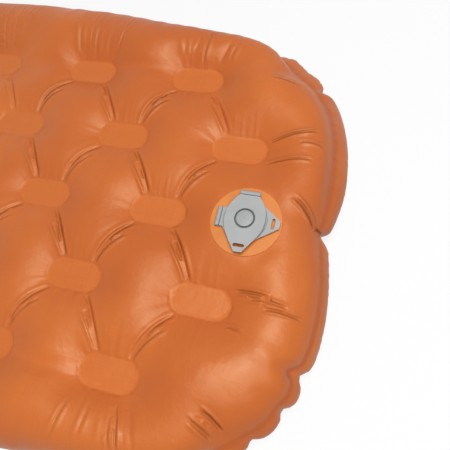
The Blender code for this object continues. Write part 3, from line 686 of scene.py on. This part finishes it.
def makePatch(material):
    ring = [(patch["radius"], patch["high"]), (patch["radius"], patch["low"]), (patch["hole"], patch["low"]),
            (patch["hole"], patch["high"])]
    piece = mouldedPiece("valvePatch", [turnedMesh(ring, patch["edge"], patch["segments"])], material)
    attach(piece, "pad")
    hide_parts("valve_patch")


socket = dict(
    bore=0.016, radius=0.0195, top=0.004, flange=0.026, flangeTop=-0.0009,
    flangeLow=-0.0021, depth=-0.006, lugLow=0.0014, lugHigh=0.0026, lugFrom=0.018,
    lugEdge=0.0003, butt=0.0245, half=0.01, edge=0.0005,
)


def makeSocket(material):
    profile = [(socket["radius"], socket["top"]), (socket["radius"], socket["flangeTop"]),
               (socket["flange"], socket["flangeTop"]), (socket["flange"], socket["flangeLow"]),
               (socket["radius"], socket["flangeLow"]), (socket["radius"], socket["depth"]),
               (socket["bore"], socket["depth"]), (socket["bore"], socket["top"])]
    tongue = tongueLoop(socket["lugFrom"], socket["butt"], socket["half"], 2)
    lug = plateMesh(tongue, [], socket["lugLow"], socket["lugHigh"], socket["lugEdge"])
    piece = mouldedPiece("valveSocket", [turnedMesh(profile, socket["edge"]), lug], material)
    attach(piece, "pad")
    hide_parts("valve_base")


dumpCap = dict(
    disc=0.023, low=0.0043, high=0.0057, boss=0.0215, bossTop=0.0069, port=0.0113,
    skirt=0.0156, skirtTaper=0.0008, skirtWall=0.0016, skirtDepth=0.007,
    butt=0.0245, half=0.01, edge=0.0005, bite=0.0007, outlinePoints=1440,
)


def rayReach(distance, lean):  # how far a ray goes to a line that is that far off
    return distance / np.maximum(lean, mould["parallel"])


def dumpOutline():  # disc drawn out to a pull tab, with a tongue for each strap
    way = ringLoop(1, dumpCap["outlinePoints"])
    tip = np.array((tabs["reach"], tabs["tipHalf"]))
    lean = math.atan2(tip[1], tip[0]) + math.acos(dumpCap["disc"] / np.linalg.norm(tip))
    side = np.array((math.cos(lean), math.sin(lean)))
    reach = np.full(len(way), dumpCap["disc"])
    folded = np.stack([way[:, 0], np.abs(way[:, 1])], 1)
    towardsTab = np.arctan2(folded[:, 1], folded[:, 0]) < lean
    tab = np.minimum(rayReach(dumpCap["disc"], folded @ side), rayReach(tabs["reach"], way[:, 0]))
    reach[towardsTab] = tab[towardsTab]
    for along, across in ((-way[:, 0], way[:, 1]), (way[:, 1], way[:, 0])):
        box = np.minimum(rayReach(dumpCap["butt"], along), rayReach(dumpCap["half"], np.abs(across)))
        reach = np.where(along > 0, np.maximum(reach, box), reach)
    return smoothLoop(way * reach[:, None], mould["capStep"], mould["capSoft"])


def makeDumpCap(material):
    holes = [ringLoop(dumpCap["port"]), slotLoop(0)]
    plate = plateMesh(dumpOutline(), holes, dumpCap["low"], dumpCap["high"], mould["smallEdge"])
    bite = dumpCap["bite"]  # how far the skirt and the boss reach into the plate
    foot = dumpCap["skirt"] - dumpCap["skirtTaper"]
    skirt = [(dumpCap["skirt"], dumpCap["low"] + bite), (dumpCap["skirt"], dumpCap["low"]),
             (foot, dumpCap["low"] - dumpCap["skirtDepth"]),
             (foot - dumpCap["skirtWall"], dumpCap["low"] - dumpCap["skirtDepth"]),
             (dumpCap["skirt"] - dumpCap["skirtWall"], dumpCap["low"] + bite)]
    boss = [(dumpCap["boss"], dumpCap["bossTop"]), (dumpCap["boss"], dumpCap["high"] - bite),
            (dumpCap["port"], dumpCap["high"] - bite), (dumpCap["port"], dumpCap["bossTop"])]
    rings = [turnedMesh(skirt, mould["smallEdge"]), turnedMesh(boss, dumpCap["edge"])]
    piece = mouldedPiece("dumpCap", [plate] + rings, material)
    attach(piece, "dump_flap")
    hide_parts("dump_cap")


inflateCap = dict(
    low=0.008, high=0.0095, halfWidth=0.0202, arcRadius=0.033, butt=0.0245, half=0.01,
    domeHole=0.0101, edge=0.0005, arcPoints=40,
)


def inflateOutline():  # lens drawn out to a pull tab at +X, as wide as its strap at -X
    middle = inflateCap["halfWidth"] - inflateCap["arcRadius"]
    radius, half = inflateCap["arcRadius"], inflateCap["half"]
    back = math.acos(-math.sqrt(1 - ((half - middle) / radius) ** 2))
    tip = Vector((tabs["reach"], tabs["tipHalf"])) - Vector((0, middle))
    front = math.atan2(tip.y, tip.x) + math.acos(radius / tip.length)
    upper = [(tabs["reach"], tabs["tipHalf"])]
    turns = np.linspace(front, back, inflateCap["arcPoints"])
    upper += [(radius * math.cos(t), middle + radius * math.sin(t)) for t in turns]
    upper += [(-inflateCap["butt"], half)]
    loop = np.array(upper + [(x, -y) for x, y in reversed(upper)])
    return quarterTurned(smoothLoop(loop, mould["capStep"], mould["capSoft"]), -1)


def makeInflateCap(material):
    holes = [ringLoop(inflateCap["domeHole"]), slotLoop(-1)]
    plate = plateMesh(inflateOutline(), holes, inflateCap["low"], inflateCap["high"], inflateCap["edge"])
    piece = mouldedPiece("inflateCap", [plate], material)
    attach(piece, "inflate_flap")
    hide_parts("inflate_cap")


plug = dict(
    radius=0.0084, domeTop=0.0106, domeBase=0.0095, collar=0.0119, collarHigh=0.0077,
    collarLow=0.0072, depth=0.004, taper=0.0006, wall=0.0012,
    tip=0.02, domePoints=14, shadeFrom=0.0003,
)


def makePlug(material):
    rise, base, radius = plug["domeTop"] - plug["domeBase"], plug["domeBase"], plug["radius"]
    turns = np.linspace(plug["tip"], math.pi / 2, plug["domePoints"])
    dome = [(radius * math.sin(t), base + rise * math.cos(t)) for t in turns]
    foot, low = radius - plug["taper"], plug["collarLow"] - plug["depth"]
    profile = dome + [(radius, plug["collarHigh"]), (plug["collar"], plug["collarHigh"]),
                      (plug["collar"], plug["collarLow"]), (radius, plug["collarLow"]), (foot, low),
                      (foot - plug["wall"], low), (foot - plug["wall"], plug["collarHigh"]),
                      (radius * plug["tip"], plug["collarHigh"])]
    piece = mouldedPiece("inflatePlug", [turnedMesh(profile, mould["smallEdge"])], material)
    shade = piece.data.attributes.new("grooveShade", "FLOAT", "POINT")  # painted shade: the faces round the dome, below its base, take the dark shade colour
    for i, vertex in enumerate(piece.data.vertices):
        shade.data[i].value = float(vertex.co.z < seat["z"] + base - plug["shadeFrom"])
    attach(piece, "inflate_flap")
    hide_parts("inflate_plug")


straps = dict(
    butt=0.0248, reach=0.0298, half=0.01, thick=0.0012, bendThick=0.001, edge=0.0004,
    edgeDrop=0.66, edgePoints=4, bendPoints=17, legPoints=4, blendInset=0.0004,
    dumpLevels=(0.002, 0.005), inflateLevels=(0.005, 0.00875),  # of the lower and the upper leg
)


def strapMesh(low, high, quarters):  # a leg at each level, joined by a bend that is a little thinner
    bend = (high - low) / 2
    centre = straps["reach"] - straps["thick"] / 2 - bend
    turns = np.linspace(-np.pi / 2, np.pi / 2, straps["bendPoints"])
    legs = np.linspace(straps["butt"], centre, straps["legPoints"], endpoint=False)
    line = [(x, low) for x in legs]
    line += [(centre + bend * math.cos(t), (low + high) / 2 + bend * math.sin(t)) for t in turns]
    line = np.array(line + [(x, high) for x in legs[::-1]])
    along = unit(np.gradient(line, axis=0))
    across = np.stack([-along[:, 1], along[:, 0]], 1)
    thin = np.clip((line[:, 0] - centre) / bend, 0, 1)
    thick = straps["thick"] - (straps["thick"] - straps["bendThick"]) * thin
    turns = np.linspace(0, np.pi / 2, straps["edgePoints"])
    section = [(side * (straps["half"] - straps["edge"] * (1 - math.cos(t))),
                level * (1 - straps["edgeDrop"] * (1 - math.sin(t))))
               for side, level, order in ((-1, -0.5, -1), (-1, 0.5, 1), (1, 0.5, -1), (1, -0.5, 1))
               for t in turns[::order]]
    points = []
    for (x, z), (wayX, wayZ), size in zip(line, across, thick):
        ring = [(x + wayX * level * size, y, z + wayZ * level * size) for y, level in section]
        points += quarterTurned(np.array(ring), quarters).tolist()
    count = len(section)
    last = len(points) - count
    faces = [(i + j, i + (j + 1) % count, i + count + (j + 1) % count, i + count + j)
             for i in range(0, last, count) for j in range(count)]
    faces += [tuple(range(count))[::-1], tuple(range(last, last + count))]
    mesh = bpy.data.meshes.new("strap")
    mesh.from_pydata(points, [], faces)
    return mesh


def makeStraps(material):
    for name, node, levels, quarters, bodies in (
            ("dumpStrap", "dump_strap", "dumpLevels", 2, ("pad", "dump_flap")),
            ("inflateStrap", "inflate_strap", "inflateLevels", 1, ("dump_flap", "inflate_flap"))):
        low, high = straps[levels]
        piece = mouldedPiece(name, [strapMesh(low, high, quarters)], material)
        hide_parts(node)
        low, high = seat["z"] + low + straps["blendInset"], seat["z"] + high - straps["blendInset"]
        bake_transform(piece)


# materials

def plugIn(tree, value, socket):  # a number, a colour or the output of another node
    if isinstance(value, bpy.types.NodeSocket):
        tree.links.new(value, socket)
    elif value is not None:
        socket.default_value = (*value, 1) if socket.type == "RGBA" else value


def addNode(tree, kind, **settings):
    node = tree.nodes.new("ShaderNode" + kind)
    for key, value in settings.items():
        if key in node.inputs:
            plugIn(tree, value, node.inputs[key])
        else:
            setattr(node, key, value)
    return node


def mathNode(tree, operation, first, second=None):
    node = addNode(tree, "Math", operation=operation)
    plugIn(tree, first, node.inputs[0])
    plugIn(tree, second, node.inputs[1])
    return node.outputs[0]


def spread(tree, value, fromLow, fromHigh, low=0.0, high=1.0):
    ends = {"From Min": fromLow, "From Max": fromHigh, "To Min": low, "To Max": high}
    return addNode(tree, "MapRange", Value=value, **ends).outputs["Result"]


def bell(tree, value):  # 1 at nought, falling away on both sides
    square = mathNode(tree, "MULTIPLY", value, value)
    return mathNode(tree, "EXPONENT", mathNode(tree, "MULTIPLY", square, -1.0))


def mixColour(tree, mask, first, second):
    node = addNode(tree, "Mix", data_type="RGBA", Factor=mask)
    plugIn(tree, first, node.inputs[6])
    plugIn(tree, second, node.inputs[7])
    return node.outputs[2]


def nodeGroup(name, inputs, outputs):
    group = bpy.data.node_groups.new(name, "ShaderNodeTree")
    for label, value in inputs.items():
        made = group.interface.new_socket(label, in_out="INPUT", socket_type="NodeSocketFloat")
        made.default_value = value
    for label in outputs:
        group.interface.new_socket(label, in_out="OUTPUT", socket_type="NodeSocketFloat")
    return group, group.nodes.new("NodeGroupInput").outputs, group.nodes.new("NodeGroupOutput").inputs


def makeDriftGroup():  # slow change of tone over a surface
    group, start, end = nodeGroup("toneDrift", {"Scale": 9.0, "Low": 0.4, "High": 0.6}, ["Mask"])
    spot = addNode(group, "TexCoord").outputs["Object"]
    cloud = addNode(group, "TexNoise", Vector=spot, Scale=start["Scale"], Detail=3.0, Roughness=0.55)
    plugIn(group, spread(group, cloud.outputs["Fac"], start["Low"], start["High"]), end["Mask"])
    return group


def makeGrainGroup():  # fine grain of a moulded or coated surface
    group, start, end = nodeGroup("fineGrain", {"Scale": 900.0, "Detail": 2.0}, ["Height"])
    spot = addNode(group, "TexCoord").outputs["Object"]
    ways = {label: start[label] for label in ("Scale", "Detail")}
    grain = addNode(group, "TexNoise", Vector=spot, Roughness=0.6, **ways)
    plugIn(group, grain.outputs["Fac"], end["Height"])
    return group


def makeWeaveGroup():  # plain weave of the cloth behind a coated film
    group, start, end = nodeGroup("plainWeave", {"Threads": 5200.0}, ["Height", "Slub"])
    spot = addNode(group, "TexCoord").outputs["Object"]
    parts = addNode(group, "SeparateXYZ", Vector=spot).outputs
    turns = [mathNode(group, "MULTIPLY", parts[axis], start["Threads"]) for axis in ("X", "Y")]
    waves = [mathNode(group, "SINE", turn) for turn in turns]
    plugIn(group, mathNode(group, "MULTIPLY", *waves), end["Height"])
    slubs = []
    long, fine, deep = 28.0, 1100.0, 60.0  # of the thicker yarns, which run along and across
    for stretch in ((long, fine, deep), (fine, long, deep)):
        yarn = addNode(group, "VectorMath", operation="MULTIPLY")
        plugIn(group, spot, yarn.inputs[0])
        plugIn(group, stretch, yarn.inputs[1])
        streak = addNode(group, "TexNoise", Vector=yarn.outputs[0], Scale=1.0, Detail=1.0)
        slubs.append(streak.outputs["Fac"])
    plugIn(group, mathNode(group, "MAXIMUM", *slubs), end["Slub"])
    return group


def makeRubAndShadeGroup():  # pointiness mask: paler rub on edges that stand out, and, with its range turned round, painted shade in hollows
    group, start, end = nodeGroup("edgeRubAndHollowShade", {"From": 0.51, "To": 0.56}, ["Mask"])
    shape = addNode(group, "NewGeometry")
    plugIn(group, spread(group, shape.outputs["Pointiness"], start["From"], start["To"]), end["Mask"])
    return group


def placeGroup(tree, group, **values):
    node = tree.nodes.new("ShaderNodeGroup")
    node.node_tree = group
    for key, value in values.items():
        plugIn(tree, value, node.inputs[key])
    return node.outputs


def newMaterial(name, **settings):
    material = bpy.data.materials.new(name)
    material.use_nodes = True
    tree = material.node_tree
    shader = tree.nodes["Principled BSDF"]
    for key, value in settings.items():
        plugIn(tree, value, shader.inputs[key])
    return material, tree, shader


def bumpChain(tree, shader, layers):  # heights laid over each other, coarse first
    normal = None
    for height, strength, distance in layers:
        bump = addNode(tree, "Bump", Strength=strength, Distance=distance, Height=height, Normal=normal)
        normal = bump.outputs["Normal"]
    plugIn(tree, normal, shader.inputs["Normal"])


filmLook = dict(  # metres out from a weld's rim or in from the seam, or widths of a crease
    deep=(0.565, 0.127, 0.024), plain=(0.655, 0.164, 0.031), weld=(0.635, 0.156, 0.03),
    # seam is the painted shade colour along the seam
    seam=(0.5, 0.1, 0.016), sheen=(1.0, 0.92, 0.64), specular=0.46, roughness=(0.36, 0.46),
    drift=dict(Scale=7.0, Low=0.36, High=0.66), cloud=dict(Scale=26.0, Low=0.3, High=0.7),
    weldEdge=(0.0008, -0.0008), seamShadeEdge=(0.004, 0.0015), slub=(0.52, 0.72, 0, 0.35),
    ridgeAt=2.1, ridgeSlope=0.75, ridge=0.8, lip=(0.0, 0.0028, 0.0, 0.0005),
    pull=dict(Scale=130.0, Detail=1.5, Roughness=0.45), pullHeight=(0.3, 0.7, -0.0004, 0.0004),
    pullFar=(0.034, 0.003), pullNear=(0.0, 0.002),
    gather=dict(Scale=85.0, Detail=1.0), gatherHeight=(0.3, 0.7, -0.0005, 0.0005),
    gatherReach=(0.008, 0.001), weave=dict(Threads=5200.0), weaveBump=(0.07, 0.0004),
    crinkle=dict(Scale=34.0, Detail=4.0), crinkleBump=(0.2, 0.006),
    grain=dict(Scale=700.0, Detail=2.0), grainBump=(0.06, 0.0006),
)


def makeFilmMaterial(groups):
    look = filmLook
    material, tree, shader = newMaterial("orangeFilm", **{
        "Specular IOR Level": look["specular"], "Specular Tint": look["sheen"]})
    names = ("pill", "run", "wall", "creaseAcross", "creaseDepth")
    marks = [addNode(tree, "Attribute", attribute_name=name).outputs["Fac"] for name in names]
    pill, run, wall, across, depth = marks
    rim = addNode(tree, "Attribute", attribute_name="rim").outputs["Vector"]
    drift, cloud = [placeGroup(tree, groups["drift"], **look[kind])["Mask"] for kind in ("drift", "cloud")]
    weave = placeGroup(tree, groups["weave"], **look["weave"])
    colour = mixColour(tree, drift, look["deep"], look["plain"])
    colour = mixColour(tree, spread(tree, pill, *look["weldEdge"]), colour, look["weld"])
    # painted shade: the film is darker within a few mm of the seam, in the crease where the two films meet
    colour = mixColour(tree, spread(tree, wall, *look["seamShadeEdge"]), colour, look["seam"])
    colour = mixColour(tree, spread(tree, weave["Slub"], *look["slub"]), colour, look["deep"])
    plugIn(tree, colour, shader.inputs["Base Color"])
    plugIn(tree, spread(tree, cloud, 0, 1, *look["roughness"]), shader.inputs["Roughness"])

    beside = mathNode(tree, "SUBTRACT", across, look["ridgeAt"])
    ridge = bell(tree, mathNode(tree, "MULTIPLY", beside, look["ridgeSlope"]))
    ridge = mathNode(tree, "MULTIPLY", ridge, look["ridge"])
    crease = mathNode(tree, "MULTIPLY", mathNode(tree, "SUBTRACT", ridge, bell(tree, across)), depth)
    lip = spread(tree, pill, *look["lip"])  # step up from a weld to the pillow round it
    pull = addNode(tree, "TexNoise", Vector=rim, **look["pull"]).outputs["Fac"]  # folds out from the welds
    offWeld, close = [spread(tree, pill, *look[reach]) for reach in ("pullNear", "pullFar")]
    near = mathNode(tree, "MULTIPLY", close, offWeld)
    folds = mathNode(tree, "MULTIPLY", spread(tree, pull, *look["pullHeight"]), near)
    gather = addNode(tree, "TexNoise", noise_dimensions="1D", W=run, **look["gather"]).outputs["Fac"]
    seamward = spread(tree, wall, *look["gatherReach"])
    drawn = mathNode(tree, "MULTIPLY", spread(tree, gather, *look["gatherHeight"]), seamward)  # seam puckers
    height = mathNode(tree, "ADD", mathNode(tree, "ADD", crease, lip), mathNode(tree, "ADD", folds, drawn))
    grains = [placeGroup(tree, groups["grain"], **look[kind])["Height"] for kind in ("crinkle", "grain")]
    bumpChain(tree, shader, [(grains[0], *look["crinkleBump"]), (height, 1.0, 1.0),
                             (weave["Height"], *look["weaveBump"]), (grains[1], *look["grainBump"])])
    return material


def shadeMask(tree, groups, look):  # painted shade in grooves, hollows and crevices
    hollowShade = placeGroup(tree, groups["wear"], **look["hollowShade"])["Mask"]
    grooveShade = addNode(tree, "Attribute", attribute_name="grooveShade").outputs["Fac"]
    crevice = addNode(tree, "AmbientOcclusion", samples=look["creviceSamples"], Distance=look["creviceReach"])
    creviceShade = spread(tree, crevice.outputs["AO"], *look["crevice"])
    return mathNode(tree, "MAXIMUM", mathNode(tree, "MAXIMUM", hollowShade, grooveShade), creviceShade)


def makeMaterial(groups, name, look):  # two tones in drifts, some rub, some painted shade, and layers of fine bump
    material, tree, shader = newMaterial(name, **{"Specular IOR Level": look["specular"]})
    drift = placeGroup(tree, groups["drift"], **look["drift"])["Mask"]
    colour = mixColour(tree, drift, look["deep"], look["plain"])
    if "rub" in look:
        colour = mixColour(tree, placeGroup(tree, groups["wear"])["Mask"], colour, look["rub"])
    # painted shade: darker in grooves, in hollows and where parts lie close together
    if "grooveShade" in look:
        colour = mixColour(tree, shadeMask(tree, groups, look), colour, look["grooveShade"])
    layers = [(placeGroup(tree, groups[kind], **values)["Height"], strength, distance)
              for kind, values, strength, distance in look["layers"]]
    rough = drift if look["roughBy"] == "drift" else layers[0][0]
    plugIn(tree, colour, shader.inputs["Base Color"])
    plugIn(tree, spread(tree, rough, 0, 1, *look["roughness"]), shader.inputs["Roughness"])
    bumpChain(tree, shader, layers)
    return material


patchLook = dict(
    specular=0.4, deep=(0.66, 0.19, 0.034), plain=(0.76, 0.25, 0.05), rub=(0.8, 0.33, 0.1),
    drift=dict(Scale=38.0, Low=0.3, High=0.6), roughness=(0.4, 0.52), roughBy="drift",
    layers=[("grain", dict(Scale=520.0, Detail=3.0), 0.12, 0.0008),
            ("weave", dict(Threads=6500.0), 0.06, 0.0003)],
)
mouldingLook = dict(
    specular=0.45, deep=(0.356, 0.368, 0.368), plain=(0.404, 0.416, 0.414), rub=(0.494, 0.504, 0.5),
    drift=dict(Scale=60.0, Low=0.3, High=0.7), roughness=(0.46, 0.62), roughBy="grain",
    layers=[("grain", dict(Scale=1400.0, Detail=2.0), 0.18, 0.0004)],
    # grooveShade is the painted shade colour; hollowShade and crevice set where that shade is painted
    grooveShade=(0.114, 0.119, 0.119), hollowShade=dict(From=0.47, To=0.38),
    creviceReach=0.003, creviceSamples=12, crevice=(0.85, 0.4, 0, 0.95),
)
siliconeLook = dict(
    specular=0.5, deep=(0.68, 0.69, 0.69), plain=(0.78, 0.79, 0.79),
    drift=dict(Scale=90.0, Low=0.3, High=0.7), roughness=(0.24, 0.36), roughBy="grain",
    layers=[("grain", dict(Scale=900.0, Detail=2.0), 0.08, 0.0003)],
)
innerLook = dict(  # uncoated strips between the films
    specular=0.3, deep=(0.5, 0.26, 0.13), plain=(0.6, 0.34, 0.19),
    drift=dict(Scale=20.0, Low=0.3, High=0.7), roughness=(0.52, 0.66), roughBy="drift",
    layers=[("weave", dict(Threads=5200.0), 0.15, 0.0004)],
)


def dressNode(name, material):  # a CAD solid that keeps its shape
    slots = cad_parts[name].data.materials
    slots.clear()
    slots.append(material)


# stage, light and camera

studio = dict(
    world=0.15, floor=(0.12, 0.12, 0.12), paper=(0.95, 0.95, 0.95), lit=0.78,
    floorHalf=25, floorZ=-0.0005, floorRoughness=0.85, aim=(0.8, 0, 0.04),
    lamps=[("keyLight", (1.05, 0.05, 2.0), 0.7, 24.5), ("frontLight", (1.35, -0.55, 1.3), 0.5, 6),
           ("endLight", (2.0, 0.7, 0.8), 0.7, 1)],
)


def seenRays(tree):  # 1 for rays that show the background
    path = addNode(tree, "LightPath")
    seen = mathNode(tree, "MAXIMUM", path.outputs["Is Camera Ray"], path.outputs["Is Glossy Ray"])
    return mathNode(tree, "MAXIMUM", seen, path.outputs["Is Transmission Ray"])


def makeStage():
    mesh = bpy.data.meshes.new("floor")
    half = studio["floorHalf"]
    corners = [(x * half, y * half, studio["floorZ"]) for x, y in ((-1, -1), (1, -1), (1, 1), (-1, 1))]
    mesh.from_pydata(corners, [], [(0, 1, 2, 3)])
    floor = addObject("floor", mesh)
    material, tree, shader = newMaterial("floorPaper", Roughness=studio["floorRoughness"])
    glow = addNode(tree, "Emission")
    blend = addNode(tree, "MixShader")
    seen = seenRays(tree)
    plugIn(tree, mixColour(tree, seen, studio["floor"], studio["paper"]), shader.inputs["Base Color"])
    plugIn(tree, mathNode(tree, "MULTIPLY", seen, studio["lit"]), blend.inputs["Fac"])
    plugIn(tree, shader.outputs[0], blend.inputs[1])
    plugIn(tree, glow.outputs[0], blend.inputs[2])
    plugIn(tree, blend.outputs[0], tree.nodes["Material Output"].inputs["Surface"])
    mesh.materials.append(material)
    world = bpy.data.worlds.new("studio")
    world.use_nodes = True
    tree = world.node_tree
    sky = tree.nodes["Background"]
    plugIn(tree, (1, 1, 1), sky.inputs["Color"])
    seen = mathNode(tree, "MULTIPLY", seenRays(tree), 1 - studio["world"])
    plugIn(tree, mathNode(tree, "ADD", seen, studio["world"]), sky.inputs["Strength"])
    bpy.context.scene.world = world
    for name, spot, size, power in studio["lamps"]:
        lamp = bpy.data.lights.new(name, "AREA")
        lamp.energy, lamp.size = power, size
        light = addObject(name, lamp)
        light.location = spot
        away = Vector(spot) - Vector(studio["aim"])
        light.rotation_euler = away.to_track_quat("Z", "Y").to_euler()


view = dict(  # metres and degrees; the focal length and the width are in pixels of the photo
    place=(0.9139, -0.1378, 0.4664), turn=(20.7069, 10.3529, 13.7496), focal=437.0, width=450,
    sensor=36, nearest=0.01,
)


def makeCamera():
    lens = bpy.data.cameras.new("photoCamera")
    lens.sensor_width = view["sensor"]
    lens.lens = view["focal"] / view["width"] * view["sensor"]
    lens.clip_start = view["nearest"]
    camera = addObject("photoCamera", lens)
    turn = Euler([math.radians(angle) for angle in view["turn"]]).to_matrix()
    camera.matrix_world = Matrix.Translation(view["place"]) @ turn.to_4x4()
    bpy.context.scene.camera = camera


makeCamera()
makeStage()
print("stage and camera set")
groups = dict(drift=makeDriftGroup(), grain=makeGrainGroup(), weave=makeWeaveGroup(), wear=makeRubAndShadeGroup())
greyMoulding = makeMaterial(groups, "greyMoulding", mouldingLook)
makeFilms(makeFilmMaterial(groups))
makePatch(makeMaterial(groups, "orangePatch", patchLook))
makeSocket(greyMoulding)
makeDumpCap(greyMoulding)
makeInflateCap(greyMoulding)
makePlug(greyMoulding)
makeStraps(greyMoulding)
print("valve made")
clearSilicone = makeMaterial(groups, "clearSilicone", siliconeLook)
innerStrip = makeMaterial(groups, "innerStrip", innerLook)
dressNode("check_seat", greyMoulding)
dressNode("check_flap", clearSilicone)
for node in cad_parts:
    if "strip" in node:
        dressNode(node, innerStrip)
bpy.context.scene.view_settings.view_transform = "Standard"
